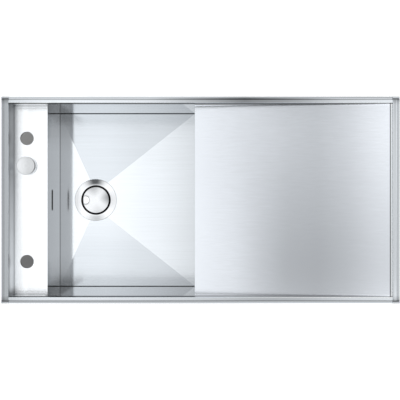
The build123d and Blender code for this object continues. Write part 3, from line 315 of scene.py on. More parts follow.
def plated_group():
    """Small crystal patches of zinc plate under a soft bloom."""
    group, entry, leave = start_group("Plated spangle", FINISH_INPUTS, FINISH_OUTPUTS)
    place = object_place(group)
    cells = add_node(group, "ShaderNodeTexVoronoi", feature="F1")
    cells.inputs["Scale"].default_value = 420.0
    group.links.new(place, cells.inputs["Vector"])
    patch = add_node(group, "ShaderNodeSeparateColor")
    group.links.new(cells.outputs["Color"], patch.inputs[0])
    bloom = add_noise(group, place, scale=60.0, detail=3.0)
    mixed = add_weighted(group, (patch.outputs[0], 0.4), (bloom, 0.6))
    tone = add_range(group, mixed, start=0.2, end=0.8)
    close_group(group, entry, leave, tone, bloom)
    return group


BRUSHED = brushed_group()
TURNED = turned_group()
MOULDED = moulded_group()
PLATED = plated_group()


def grey(level, tint=0.0):
    """A grey that leans to blue by tint."""
    return (level * (1 - tint), level, level * (1 + tint), 1.0)


class Finish:
    """A material with one finish group feeding its shader."""

    def __init__(self, name, group, pale, shade, smooth, rough, relief, metallic):
        self.material = bpy.data.materials.new(name)
        self.material.use_nodes = True
        self.tree = self.material.node_tree
        self.shader = self.tree.nodes["Principled BSDF"]
        self.shader.inputs["Metallic"].default_value = metallic
        self.group = add_node(self.tree, "ShaderNodeGroup", node_tree=group)
        self.set_up({"Pale": pale, "Shade": shade, "Smooth": smooth, "Rough": rough})
        self.bump = add_node(self.tree, "ShaderNodeBump")
        self.bump.inputs["Strength"].default_value = 0.5
        self.bump.inputs["Distance"].default_value = relief
        self.tree.links.new(self.group.outputs["Color"], self.shader.inputs["Base Color"])
        self.tree.links.new(self.group.outputs["Roughness"], self.shader.inputs["Roughness"])
        self.tree.links.new(self.group.outputs["Height"], self.bump.inputs["Height"])
        self.tree.links.new(self.bump.outputs["Normal"], self.shader.inputs["Normal"])

    def set_up(self, values):
        """Set the finish group's inputs by name."""
        for name, value in values.items():
            self.group.inputs[name].default_value = value

    def place_parts(self):
        """Object coordinates of the surface, apart as X, Y and Z."""
        return split(self.tree, object_place(self.tree))

    def facing_parts(self):
        """The surface's own direction, apart as X, Y and Z."""
        return split(self.tree, add_node(self.tree, "ShaderNodeNewGeometry").outputs["Normal"])

    def ramp(self, value, start, end, at_start=0.0, at_end=1.0):
        return add_range(self.tree, value, start, end, at_start, at_end)

    def size_of(self, value):
        return add_math(self.tree, "ABSOLUTE", value)

    def apart(self, value, centre):
        return self.size_of(add_math(self.tree, "SUBTRACT", value, centre))

    def both(self, first, second):
        return add_math(self.tree, "MULTIPLY", first, second)

    def either(self, first, second):
        return add_math(self.tree, "MAXIMUM", first, second)

    def band(self, value, low, high, soft=0.0004):
        """1 between low and high, with soft edges."""
        return self.both(self.ramp(value, low - soft, low), self.ramp(value, high + soft, high))

    def distance(self, across, along, centre_x, centre_y):
        """Distance from an upright axis."""
        off_x = add_math(self.tree, "SUBTRACT", across, centre_x)
        off_y = add_math(self.tree, "SUBTRACT", along, centre_y)
        squared = add_math(self.tree, "ADD", self.both(off_x, off_x), self.both(off_y, off_y))
        return add_math(self.tree, "POWER", squared, 0.5)

    def upright(self):
        """1 where the surface stands upright, as in the bore of a hole."""
        return self.ramp(self.size_of(self.facing_parts()[2]), start=0.6, end=0.3)

    def tint(self, mask, colour):
        """Multiply the finish by a colour where mask is 1."""
        plain = self.shader.inputs["Base Color"].links[0].from_socket
        mixed = add_mix(self.tree, mask, plain, colour, blend="MULTIPLY")
        self.tree.links.new(mixed, self.shader.inputs["Base Color"])

    def shade(self, mask, tone):
        """Darken the finish to tone where mask is 1, or lighten it with a tone over 1."""
        self.tint(mask, grey(tone))

    def shade_from(self, value, start, end, tone):
        """Shade that grows from none at start to all of it at end."""
        self.shade(self.ramp(value, start, end), tone)

    def shade_band(self, value, low, high, tone):
        """Shade between low and high."""
        self.shade(self.band(value, low, high), tone)

    def dull(self, mask, share):
        """Take the mirror off the steel where mask is 1, so that painted shade there stays dark, as in a gap
        that no light reaches.
        """
        mirror = self.shader.inputs["Metallic"]
        kept = add_math(self.tree, "SUBTRACT", 1.0, self.both(mask, share))
        if mirror.links:
            kept = self.both(mirror.links[0].from_socket, kept)
        self.tree.links.new(kept, mirror)
        self.shader.inputs["Specular IOR Level"].default_value = 0.0

    def blur_along(self, direction, amount):
        """Spread reflections along one direction, square to the brushing."""
        across = add_node(self.tree, "ShaderNodeCombineXYZ")
        for socket, value in zip(across.inputs, direction):
            socket.default_value = value
        self.tree.links.new(across.outputs[0], self.shader.inputs["Tangent"])
        self.shader.inputs["Anisotropic"].default_value = amount

    def lay_relief(self, height, strength, distance):
        """Lay a second bump over the finish's own."""
        over = add_node(self.tree, "ShaderNodeBump")
        over.inputs["Strength"].default_value = strength
        over.inputs["Distance"].default_value = distance
        self.tree.links.new(height, over.inputs["Height"])
        self.tree.links.new(self.bump.outputs["Normal"], over.inputs["Normal"])
        self.tree.links.new(over.outputs["Normal"], self.shader.inputs["Normal"])


# Steel, its pieces set lighter and darker as painted light and shade

STEEL_BLUE = 0.05
WALL_BLUE = 0.025
DECK_BLUE = 0.03
DRAINER_PALE = (0.806, 0.844, 0.897, 1.0)
ALONG_Y = (0, 1, 0)
CROSS_BLUR = 0.9
END_RAIL = {"outside": HALF_LENGTH, "inside": INSIDE_X, "lengthwise": False}
LONG_RAIL = {"outside": HALF_WIDTH, "inside": BOWL_HALF_WIDTH, "lengthwise": True}


def brushed_steel(name, grain, pale, smooth=0.17, rough=0.24, relief=0.000012, streak=0.92):
    """Brushed steel with streaks that keep the share streak of its pale tone."""
    streaks = (*(streak * part for part in pale[:3]), 1.0)
    finish = Finish(name, BRUSHED, pale, streaks, smooth, rough, relief, metallic=1.0)
    finish.set_up({"Grain": grain})
    return finish


def turned_steel(name, centre, level, fan_turn=0, sharpness=9, fan_span=(0.0, 0.02), fans=(0.0, 0.0, 0.0)):
    """Turned steel with dark fans of painted reflection to the rear, to the right and to the front."""
    pale = grey(level, STEEL_BLUE / 2)
    finish = Finish(name, TURNED, pale, grey(level * 0.10, STEEL_BLUE), smooth=0.15, rough=0.24,
                    relief=0.00001, metallic=1.0)
    finish.set_up({"Centre": centre, "Fan Turn": radians(fan_turn), "Fan Sharpness": sharpness})
    finish.set_up(dict(zip(("Fan Start", "Fan End"), fan_span)))
    finish.set_up(dict(zip(("Rear Fan", "Right Fan", "Front Fan"), fans)))
    return finish


def rail_steel(name, level, groove_tone, painted_face_light, outside, inside, lengthwise):
    """A rail with painted shade in its groove and painted light on its inner face."""
    finish = brushed_steel(name, LENGTHWISE if lengthwise else CROSSWISE, grey(level, STEEL_BLUE))
    place = finish.place_parts()
    from_middle = finish.size_of(place[1 if lengthwise else 0])
    finish.shade_band(from_middle, low=outside - GROOVE_FAR, high=outside - GROOVE_NEAR, tone=groove_tone)
    # Painted light on the rail's inner face
    finish.shade_from(from_middle, start=inside + 0.0004, end=inside + 0.0002, tone=painted_face_light)
    return finish, place, from_middle


def shade_rail_ends(finish, along):
    """Paint shade on an end rail towards its two end caps."""
    to_end = finish.size_of(along)
    finish.shade_from(to_end, start=0.2385, end=0.2495, tone=0.68)
    finish.shade_from(to_end, start=0.2498, end=0.2503, tone=0.60)


def left_rail_finish():
    """Left rail, with painted shade on the band inside its groove."""
    finish, place, from_middle = rail_steel("Left rail steel", level=0.53, groove_tone=0.80, painted_face_light=1.7,
                                            **END_RAIL)
    shade_rail_ends(finish, place[1])
    finish.shade_band(from_middle, low=0.4820, high=0.4895, tone=0.91)
    return finish


def right_rail_finish():
    """Right rail, with painted shade inside its groove that deepens to the rear."""
    finish, place, from_middle = rail_steel("Right rail steel", level=0.75, groove_tone=0.86, painted_face_light=1.5,
                                            **END_RAIL)
    shade_rail_ends(finish, place[1])
    inside_groove = finish.band(from_middle, low=0.4842, high=0.4897)
    to_rear = finish.ramp(place[1], start=-0.22, end=0.22)
    finish.shade(finish.both(inside_groove, to_rear), tone=0.64)
    return finish


def rear_rail_finish():
    """Rear rail with painted reflection: dark right of its middle, most of all beside the groove, and pale
    along its inner edge.
    """
    finish, place, from_middle = rail_steel("Rear rail steel", level=0.72, groove_tone=0.50, painted_face_light=1.25,
                                            **LONG_RAIL)
    middle = finish.ramp(finish.apart(place[0], 0.11), start=0.24, end=0.0)
    finish.shade(middle, tone=0.45)
    finish.shade_from(from_middle, start=0.2526, end=0.2530, tone=1.25)
    beside_groove = finish.band(from_middle, low=0.2517, high=0.2551)
    finish.shade(finish.both(middle, beside_groove), tone=0.30)
    outer_edge = finish.ramp(from_middle, start=0.2553, end=0.2557)
    finish.shade(finish.both(middle, outer_edge), tone=1.3)
    to_right = finish.ramp(place[0], start=0.12, end=0.36)
    finish.shade(finish.both(to_right, outer_edge), tone=0.72)
    finish.shade_from(from_middle, start=0.2456, end=0.2452, tone=1.38)
    return finish


def front_rail_finish():
    """Front rail, with painted shade to the left and beside its groove, and a painted highlight along its
    inner edge.
    """
    finish, place, from_middle = rail_steel("Front rail steel", level=0.94, groove_tone=0.48, painted_face_light=1.0,
                                            **LONG_RAIL)
    finish.shade_from(place[0], start=0.20, end=-0.10, tone=0.855)
    finish.shade_band(from_middle, low=HALF_WIDTH - GROOVE_NEAR, high=0.2557, tone=0.71)
    finish.shade_band(from_middle, low=0.2456, high=0.2506, tone=0.80)
    finish.shade_from(from_middle, start=0.2452, end=0.2448, tone=1.15)
    return finish


def rail_end_finish():
    """Rail end caps, each with a strip of painted shade across it."""
    finish = brushed_steel("Rail end steel", CROSSWISE, grey(0.70, STEEL_BLUE))
    across, along, _ = finish.place_parts()
    strip = finish.band(finish.size_of(along), low=0.2520, high=0.2558)
    short_of_edge = finish.ramp(finish.size_of(across), start=0.4982, end=0.4970)
    finish.shade(finish.both(strip, short_of_edge), tone=0.28)
    return finish


def drainer_finish():
    """Drainer plate, with a painted shade line by its right end, and painted light on its long edges and at
    that end.
    """
    finish = brushed_steel("Drainer steel", LENGTHWISE, DRAINER_PALE, smooth=0.12, rough=0.17, streak=0.925)
    finish.blur_along(ALONG_Y, CROSS_BLUR)
    across, along, _ = finish.place_parts()
    finish.shade_band(across, low=INSIDE_X - 0.0042, high=INSIDE_X - 0.0020, tone=0.22)
    finish.shade_from(finish.size_of(along), start=0.2365, end=0.2400, tone=1.15)
    finish.shade_from(across, start=INSIDE_X - 0.0020, end=INSIDE_X - 0.0012, tone=1.25)
    return finish


def deck_finish():
    """Tap deck, leaning a little by the left wall, with painted shade fading in and a painted shade line
    there, painted shade lines at its rear and front edges, and painted shade in the hole bores.
    """
    finish = brushed_steel("Deck steel", LENGTHWISE, grey(0.99, DECK_BLUE), smooth=0.24, rough=0.28)
    across, along, _ = finish.place_parts()
    finish.shade_from(finish.size_of(along), start=0.2408, end=0.2414, tone=0.62)
    lean = add_math(finish.tree, "MINIMUM", across, -INSIDE_X + 0.035)
    finish.lay_relief(lean, strength=1.0, distance=-0.035)
    fade_in = finish.ramp(across, start=-0.4735, end=-0.4665)
    fade_out = finish.ramp(across, start=-0.452, end=-0.4665)
    finish.shade(finish.both(fade_in, fade_out), tone=0.84)
    finish.shade_from(across, start=-0.4745, end=-0.4785, tone=0.92)
    finish.shade_from(across, start=-0.4785, end=-0.4795, tone=0.66)
    finish.shade(finish.upright(), tone=0.25)
    return finish


def long_wall_steel(name, level, corner_tone, corner_dull, right_tone, drainer_tone, drainer_dull):
    """A long wall with painted shade in a dark line under the rim, in the bowl's left corner, towards the
    right and above the drainer.
    """
    finish = brushed_steel(name, LENGTHWISE, grey(level, WALL_BLUE), smooth=0.05, rough=0.08)
    across, _, height = finish.place_parts()
    over_bowl = finish.ramp(across, start=BOWL_RIGHT + 0.002, end=BOWL_RIGHT)
    # Painted shade in a dark line under the rim, with the mirror taken off
    painted_rim_shade = finish.both(over_bowl, finish.ramp(height, start=-0.0145, end=-0.0135))
    finish.shade(painted_rim_shade, tone=0.08)
    finish.dull(painted_rim_shade, share=0.84)
    below_deck = finish.ramp(height, start=-0.040, end=-0.046)
    past_deck = finish.ramp(across, start=-0.396, end=-0.394)
    by_left_wall = finish.ramp(across, start=-0.350, end=-0.364)
    # Painted shade and painted reflection in the bowl's left corner
    corner = finish.both(by_left_wall, finish.either(below_deck, past_deck))
    finish.shade(corner, corner_tone)
    finish.dull(corner, corner_dull)
    finish.shade_from(across, start=-0.22, end=-0.04, tone=right_tone)
    over_drainer = finish.ramp(across, start=BOWL_RIGHT, end=BOWL_RIGHT + 0.002)
    drainer_shade = finish.both(over_drainer, finish.ramp(height, start=-0.026, end=-0.019))
    finish.shade(drainer_shade, drainer_tone)
    finish.dull(drainer_shade, drainer_dull)
    return finish


def left_wall_finish():
    """Left end wall, with painted shade under the rim, to the rear, in the front corner and along its foot,
    and painted light behind the knob.
    """
    finish = brushed_steel("Left wall steel", CROSSWISE, grey(0.92, WALL_BLUE), smooth=0.34, rough=0.40)
    _, along, height = finish.place_parts()
    finish.shade_from(height, start=-0.008, end=-0.006, tone=0.60)
    finish.shade_from(along, start=-0.173, end=0.080, tone=0.36)
    finish.shade_from(along, start=-0.222, end=-0.236, tone=0.50)
    finish.shade_from(finish.apart(along, KNOB_CENTRE[1]), start=0.024, end=0.004, tone=1.55)
    finish.shade_from(height, start=DECK_Z + 0.008, end=DECK_Z + 0.006, tone=0.86)
    return finish


def bowl_left_wall_finish():
    """Bowl's left wall, with painted shade towards its corners and round the overflow slot."""
    finish = brushed_steel("Bowl left wall steel", CROSSWISE, grey(0.36, WALL_BLUE), smooth=0.08, rough=0.12,
                           relief=0.000004)
    _, along, height = finish.place_parts()
    finish.shade_from(along, start=0.13, end=0.23, tone=0.46)
    finish.shade_from(along, start=-0.15, end=-0.23, tone=0.68)
    slot_length = finish.ramp(finish.size_of(along), start=SLOT_HALF_LENGTH + 0.0014,
                              end=SLOT_HALF_LENGTH + 0.0008)
    finish.shade(finish.both(finish.band(height, *SLOT_BAND), slot_length), tone=0.04)
    return finish


def bowl_floor_finish():
    """Folded floor, rolled up a little by the left wall, with painted shade on the rear and front facets,
    towards the right and in dark lines by the walls.
    """
    finish = brushed_steel("Bowl floor steel", LENGTHWISE, grey(0.825, STEEL_BLUE), smooth=0.12, rough=0.16,
                           streak=0.935)
    finish.blur_along(ALONG_Y, CROSS_BLUR)
    across, along, _ = finish.place_parts()
    from_middle = finish.size_of(along)
    rolled = add_math(finish.tree, "MINIMUM", across, BOWL_LEFT + 0.065)
    finish.lay_relief(rolled, strength=1.0, distance=0.025)
    crease_rise = BOWL_HALF_WIDTH - VALLEY_HALF_LENGTH
    left_crease = finish.ramp(across, DRAIN_CENTRE[0], BOWL_LEFT, at_end=crease_rise)
    right_crease = finish.ramp(across, DRAIN_CENTRE[0], BOWL_RIGHT, at_end=crease_rise)
    crease = add_math(finish.tree, "ADD", finish.either(left_crease, right_crease), VALLEY_HALF_LENGTH)
    past_crease = add_math(finish.tree, "SUBTRACT", from_middle, crease)
    # Painted shade on the rear and front facets
    long_facets = finish.ramp(past_crease, start=-0.0006, end=0.0006)
    off_wall = finish.ramp(across, start=BOWL_LEFT + 0.024, end=BOWL_LEFT + 0.034)
    rear_facet = finish.ramp(along, start=0.0, end=0.002)
    front_facet = finish.ramp(along, start=-0.050, end=-0.135, at_start=0.45)
    facet_share = finish.both(off_wall, finish.either(rear_facet, front_facet))
    finish.tint(finish.both(long_facets, facet_share), grey(0.82, 0.01))
    finish.shade_from(across, start=-0.12, end=BOWL_RIGHT, tone=0.93)
    # Painted shade in dark lines along the floor's edges by the walls
    side_edge_shade = finish.ramp(from_middle, start=BOWL_HALF_WIDTH - 0.0018, end=BOWL_HALF_WIDTH - 0.0014)
    end_edge_shade = finish.ramp(across, start=BOWL_LEFT + 0.0020, end=BOWL_LEFT + 0.0014, at_end=0.45)
    finish.shade(finish.either(side_edge_shade, end_edge_shade), tone=0.06)
    return finish


def waste_finish():
    """Turned waste with painted reflection fans, painted shade at the flange's edge and left, and black
    painted shade round the lid.
    """
    finish = turned_steel("Waste steel", DRAIN_CENTRE, level=0.93, fan_turn=2,
                          fan_span=(CUP_RADIUS - 0.004, CUP_RADIUS + 0.006), fans=(0.98, 0.03, 0.46))
    across, along, height = finish.place_parts()
    radius = finish.distance(across, along, *DRAIN_CENTRE[:2])
    flange_edge = finish.ramp(radius, start=FLANGE_RADIUS - 0.0016, end=FLANGE_RADIUS - 0.0010)
    to_right = finish.ramp(across, start=DRAIN_CENTRE[0] - 0.030, end=DRAIN_CENTRE[0])
    finish.shade(finish.both(flange_edge, to_right), tone=0.72)
    finish.shade_from(across, start=DRAIN_CENTRE[0] - 0.040, end=DRAIN_CENTRE[0] - 0.052, tone=0.80)
    # Black painted shade in the ring between the lid and the cup
    painted_ring_shade = finish.band(radius, low=LID_RADIUS - 0.0014, high=CUP_RADIUS + 0.0001, soft=0.0003)
    near_lid = finish.ramp(height, start=SEAL_GROOVE_FOOT - 0.0005, end=SEAL_GROOVE_FOOT)
    finish.shade(finish.both(painted_ring_shade, near_lid), tone=0.02)
    return finish


def lid_finish():
    """Turned lid with painted reflection fans, black painted shade at its edge, and painted shade round the
    finger notch and on the notch's sides.
    """
    finish = turned_steel("Lid steel", DRAIN_CENTRE, level=0.80, fan_turn=11, sharpness=6,
                          fan_span=(0.008, LID_RADIUS), fans=(0.52, 0.70, 0.26))
    across, along, _ = finish.place_parts()
    radius = finish.distance(across, along, *DRAIN_CENTRE[:2])
    finish.shade_from(radius, start=LID_RADIUS - 0.0015, end=LID_RADIUS - 0.0010, tone=0.01)
    from_notch = finish.distance(across, along, NOTCH_X, DRAIN_CENTRE[1])
    finish.shade_from(from_notch, start=NOTCH_RADIUS + 0.0022, end=NOTCH_RADIUS + 0.0014, tone=0.50)
    round_notch = finish.ramp(from_notch, start=NOTCH_RADIUS + 0.0060, end=NOTCH_RADIUS + 0.0020)
    to_sides = finish.ramp(finish.size_of(along), start=0.006, end=0.010)
    finish.shade(finish.both(round_notch, to_sides), tone=0.74)
    return finish


def knob_finish():
    """Turned knob with painted shade: paler to the left and dark on its right flank."""
    finish = turned_steel("Knob steel", KNOB_CENTRE, level=0.90)
    across, _, height = finish.place_parts()
    above_foot = finish.ramp(height, start=DECK_Z + 0.0034, end=DECK_Z + 0.0046)
    to_right = finish.ramp(across, start=KNOB_CENTRE[0] - KNOB_RADIUS, end=KNOB_CENTRE[0] + 0.006)
    finish.shade(finish.both(to_right, above_foot), tone=0.66)
    right_flank = finish.ramp(finish.facing_parts()[0], start=0.15, end=0.60)
    finish.shade(finish.both(right_flank, above_foot), tone=0.22)
    return finish


# Plated and brass parts, rubber and plastics

def zinc(name):
    return Finish(name, PLATED, grey(0.62, 0.03), grey(0.46, 0.03), smooth=0.30, rough=0.46,
                  relief=0.00003, metallic=1.0)


def backing_plate_finish():
    """Zinc backing plate, with painted shade in its bores."""
    finish = zinc("Backing plate zinc")
    finish.shade(finish.upright(), tone=0.20)
    return finish


def brass_finish():
    finish = Finish("Turned brass", TURNED, (0.78, 0.60, 0.32, 1), (0.58, 0.42, 0.20, 1), smooth=0.22,
                    rough=0.34, relief=0.00002, metallic=1.0)
    # Faint fans of painted reflection
    finish.set_up({"Centre": KNOB_CENTRE, "Rear Fan": 0.1, "Right Fan": 0.1, "Front Fan": 0.1})
    return finish


def moulded(name, pale, shade, smooth, rough, relief):
    return Finish(name, MOULDED, pale, shade, smooth, rough, relief, metallic=0.0)


def dark_plastic(name):
    return moulded(name, grey(0.085, 0.02), grey(0.055, 0.02), smooth=0.34, rough=0.48, relief=0.00005)


def tail_finish():
    """Outlet of the waste, with a coarse thread for the trap's nut."""
    finish = dark_plastic("Tail plastic")
    across, along, height = finish.place_parts()
    off_axis = add_math(finish.tree, "SUBTRACT", across, DRAIN_CENTRE[0])
    turn = add_math(finish.tree, "ARCTAN2", along, off_axis)
    rise = finish.both(height, 2 * pi / THREAD_PITCH)
    wave = add_math(finish.tree, "SINE", add_math(finish.tree, "ADD", rise, turn))
    threaded = finish.ramp(height, start=OUTLET_THREAD_TOP, end=OUTLET_THREAD_TOP - 0.0005)
    finish.lay_relief(finish.both(wave, threaded), strength=0.8, distance=0.0006)
    return finish


# The walls: one steel at levels that differ as painted light and shade
rear_wall_steel = long_wall_steel("Rear wall steel", level=0.70, corner_tone=0.43, corner_dull=0.04,
                                  right_tone=0.90, drainer_tone=0.14, drainer_dull=0.78)
front_wall_steel = long_wall_steel("Front wall steel", level=0.50, corner_tone=0.28, corner_dull=0.24,
                                   right_tone=0.72, drainer_tone=0.50, drainer_dull=0.30)
right_wall_steel = brushed_steel("Right wall steel", CROSSWISE, grey(0.95, WALL_BLUE))
bowl_right_steel = brushed_steel("Bowl right wall steel", CROSSWISE, grey(0.72, WALL_BLUE), smooth=0.12,
                                 rough=0.18)
seal_rubber = moulded("Seal rubber", grey(0.006), grey(0.003), smooth=0.60, rough=0.80, relief=0.00006)
seal_rubber.shader.inputs["Specular IOR Level"].default_value = 0.05
pad_rubber = moulded("Damping pad", grey(0.13), grey(0.07), smooth=0.70, rough=0.88, relief=0.00015)
pad_rubber.set_up({"Grain": 700.0})
control_plastic = moulded("Control plastic", grey(0.12, 0.02), grey(0.08, 0.02), smooth=0.38, rough=0.52,
                          relief=0.00005)
hose_plastic = moulded("Hose plastic", grey(0.60, 0.01), grey(0.47, 0.01), smooth=0.38, rough=0.52,
                       relief=0.00004)
sheath_vinyl = moulded("Sheath vinyl", grey(0.05, 0.02), grey(0.025, 0.02), smooth=0.24, rough=0.36,
                       relief=0.00003)

FINISHED_NODES = [
    (rear_rail_finish(), ["rear_rail"]),
    (front_rail_finish(), ["front_rail"]),
    (left_rail_finish(), ["left_end_rail"]),
    (right_rail_finish(), ["right_end_rail"]),
    (rail_end_finish(), ["rail_end_caps"]),
    (drainer_finish(), ["drainer"]),
    (deck_finish(), ["tap_deck"]),
    (rear_wall_steel, ["rear_wall"]),
    (front_wall_steel, ["front_wall"]),
    (right_wall_steel, ["right_end_wall"]),
    (left_wall_finish(), ["left_end_wall"]),
    (bowl_left_wall_finish(), ["bowl_left_wall"]),
    (bowl_right_steel, ["bowl_right_wall"]),
    (bowl_floor_finish(), ["bowl_floor"]),
    (waste_finish(), ["waste_cup", "strainer_basket"]),
    (lid_finish(), ["strainer_lid"]),
    (knob_finish(), ["control_knob", "knob_base"]),
    (backing_plate_finish(), ["deck_backing_plate"]),
    (zinc("Zinc plate"), ["drainer_stiffeners", "spring_clips", "clip_studs", "clip_nuts", "overflow_studs",
                          "overflow_nuts", "hose_clips", "clamp_screw", "lift_pin", "lever_shaft",
                          "cable_bracket", "pull_wire", "knob_spindle"]),
    (brass_finish(), ["knob_nut"]),
    (seal_rubber, ["rim_seal", "overflow_gasket", "waste_upper_seal", "waste_lower_seal", "plug_seal",
                   "control_gasket"]),
    (pad_rubber, ["drainer_sound_pads", "bowl_sound_pads"]),
    (dark_plastic("Waste plastic"), ["overflow_box", "waste_body", "lift_finger", "crank_arm"]),
    (tail_finish(), ["waste_tail"]),
    (control_plastic, ["cable_drum", "control_housing", "housing_cover"]),
    (hose_plastic, ["overflow_hose"]),
    (sheath_vinyl, ["cable_sheath"]),
]


def dress(piece, finish):
    piece.data.materials.clear()
    piece.data.materials.append(finish.material)


for finish, names in FINISHED_NODES:
    for name in names:
        dress(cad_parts[name], finish)


# Modelling helpers

def clear_selection():
    if bpy.context.object and bpy.context.object.mode != "OBJECT":
        bpy.ops.object.mode_set(mode="OBJECT")
    bpy.ops.object.select_all(action="DESELECT")


def pick_vertices(piece, wanted):
    """Enter edit mode with only the wanted vertices selected."""
    bpy.ops.object.mode_set(mode="EDIT")
    bpy.ops.mesh.select_mode(type="VERT")
    bpy.ops.mesh.select_all(action="DESELECT")
    bpy.ops.object.mode_set(mode="OBJECT")
    for vertex in piece.data.vertices:
        vertex.select = wanted(vertex.co)
    bpy.ops.object.mode_set(mode="EDIT")


def apply_all(piece):
    for modifier in list(piece.modifiers):
        bpy.ops.object.modifier_apply(modifier=modifier.name)


def extrude_by(*step):
    """Carry what is selected on by a step in X, Y and Z."""
    bpy.ops.mesh.extrude_region_move(TRANSFORM_OT_translate={"value": step})


def extrude_ring(rise, from_radius, to_radius):
    """Carry the selected ring on by rise and open or close it to a new radius."""
    extrude_by(0, 0, rise)
    share = to_radius / from_radius
    bpy.ops.transform.resize(value=(share, share, 1), center_override=(0, 0, 0))


def smooth_route(points, name):
    """A smooth spline that leaves its first point and meets its last one straight."""
    clear_selection()
    bpy.ops.curve.primitive_nurbs_path_add(location=(0, 0, 0))
    route = bpy.context.object
    route.name = name
    route.data.dimensions = "3D"
    route.data.resolution_u = ROUTE_RESOLUTION
    route.data.splines.clear()
    spline = route.data.splines.new("NURBS")
    spline.points.add(len(points) - 1)
    for knot, place in zip(spline.points, points):
        knot.co = (*place, 1.0)
    spline.order_u = 3
    spline.use_endpoint_u = True
    return route


def seat(piece, finish, slot_name, *nodes):
    """Dress a finished piece and let it stand for its CAD nodes on the fixed sink."""
    dress(piece, finish)
    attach(piece, "sink")
    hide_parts(*nodes)


# Ribbed overflow hose with a smooth cuff at each end and an open bore

def overflow_hose():
    low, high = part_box("overflow_hose")
    drop_x = low.x + HOSE_CREST
    run_z = low.z + HOSE_CREST
    route = smooth_route([
        (drop_x, 0, high.z),
        (drop_x, 0, run_z + HOSE_BEND_START),
        (drop_x, 0, run_z + HOSE_BEND_CORNER),
        (drop_x + HOSE_BEND_CORNER, 0, run_z),
        (drop_x + HOSE_BEND_START, 0, run_z),
        (high.x, 0, run_z),
    ], "hose_route")
    length = route.data.splines[0].calc_length()
    ribs_end = HOSE_RIBS * HOSE_PITCH
    cuff = (length - ribs_end) / 2
    clear_selection()
    bpy.ops.mesh.primitive_circle_add(vertices=HOSE_SIDES, radius=HOSE_RADIUS, location=(0, 0, 0))
    hose = bpy.context.object
    hose.name = "ribbed_hose"
    bpy.ops.object.mode_set(mode="EDIT")
    radius = HOSE_RADIUS
    for rise, next_radius in HOSE_RIB_STEPS:
        extrude_ring(rise, radius, next_radius)
        radius = next_radius
    bpy.ops.object.mode_set(mode="OBJECT")
    repeat = hose.modifiers.new("ribs", "ARRAY")
    repeat.count = HOSE_RIBS
    repeat.use_relative_offset = False
    repeat.use_constant_offset = True
    repeat.constant_offset_displace = (0, 0, HOSE_PITCH)
    repeat.use_merge_vertices = True
    repeat.merge_threshold = MERGE_DISTANCE
    apply_all(hose)
    pick_vertices(hose, lambda co: co.z < MERGE_DISTANCE)
    extrude_ring(-cuff, HOSE_RADIUS, HOSE_RADIUS)
    pick_vertices(hose, lambda co: co.z > ribs_end - MERGE_DISTANCE)
    extrude_ring(cuff, HOSE_RADIUS, HOSE_RADIUS)
    extrude_ring(0.0, HOSE_RADIUS, HOSE_BORE)
    for _ in range(HOSE_BORE_STEPS):
        extrude_ring(-length / HOSE_BORE_STEPS, HOSE_BORE, HOSE_BORE)
    pick_vertices(hose, lambda co: co.z < -cuff + MERGE_DISTANCE)
    bpy.ops.mesh.bridge_edge_loops()
    bpy.ops.mesh.select_all(action="SELECT")
    bpy.ops.mesh.normals_make_consistent(inside=False)
    bpy.ops.transform.translate(value=(0, 0, cuff))
    bpy.ops.object.mode_set(mode="OBJECT")
    follow = hose.modifiers.new("route", "CURVE")
    follow.object = route
    follow.deform_axis = "POS_Z"
    apply_all(hose)
    bpy.ops.object.shade_smooth_by_angle(angle=TUBE_SMOOTH_ANGLE)
    bpy.data.objects.remove(route)
    seat(hose, hose_plastic, "hose_plastic", "overflow_hose")


# Cable sheath, an open tube from the control to its bracket

def cable_sheath():
    sheath = smooth_route(SHEATH_ROUTE, "pull_cable_sheath")
    sheath.data.bevel_depth = SHEATH_RADIUS
    sheath.data.bevel_resolution = SHEATH_ROUNDNESS
    sheath.data.use_fill_caps = False
    bpy.ops.object.convert(target="MESH")
    sheath = bpy.context.object
    wall = sheath.modifiers.new("wall", "SOLIDIFY")
    wall.thickness = SHEATH_WALL
    wall.offset = -1
    apply_all(sheath)
    bpy.ops.object.shade_smooth_by_angle(angle=TUBE_SMOOTH_ANGLE)
    seat(sheath, sheath_vinyl, "sheath_plastic", "cable_sheath")


# Embossed damping pads

def lay_on(centre, outward, along):
    """Place whose z axis points outward from a surface and whose x axis runs along it."""
    up = Vector(outward).normalized()
    ahead = Vector(along).normalized()
    place = Matrix((ahead, up.cross(ahead), up)).transposed().to_4x4()
    place.translation = Vector(centre)
    return place


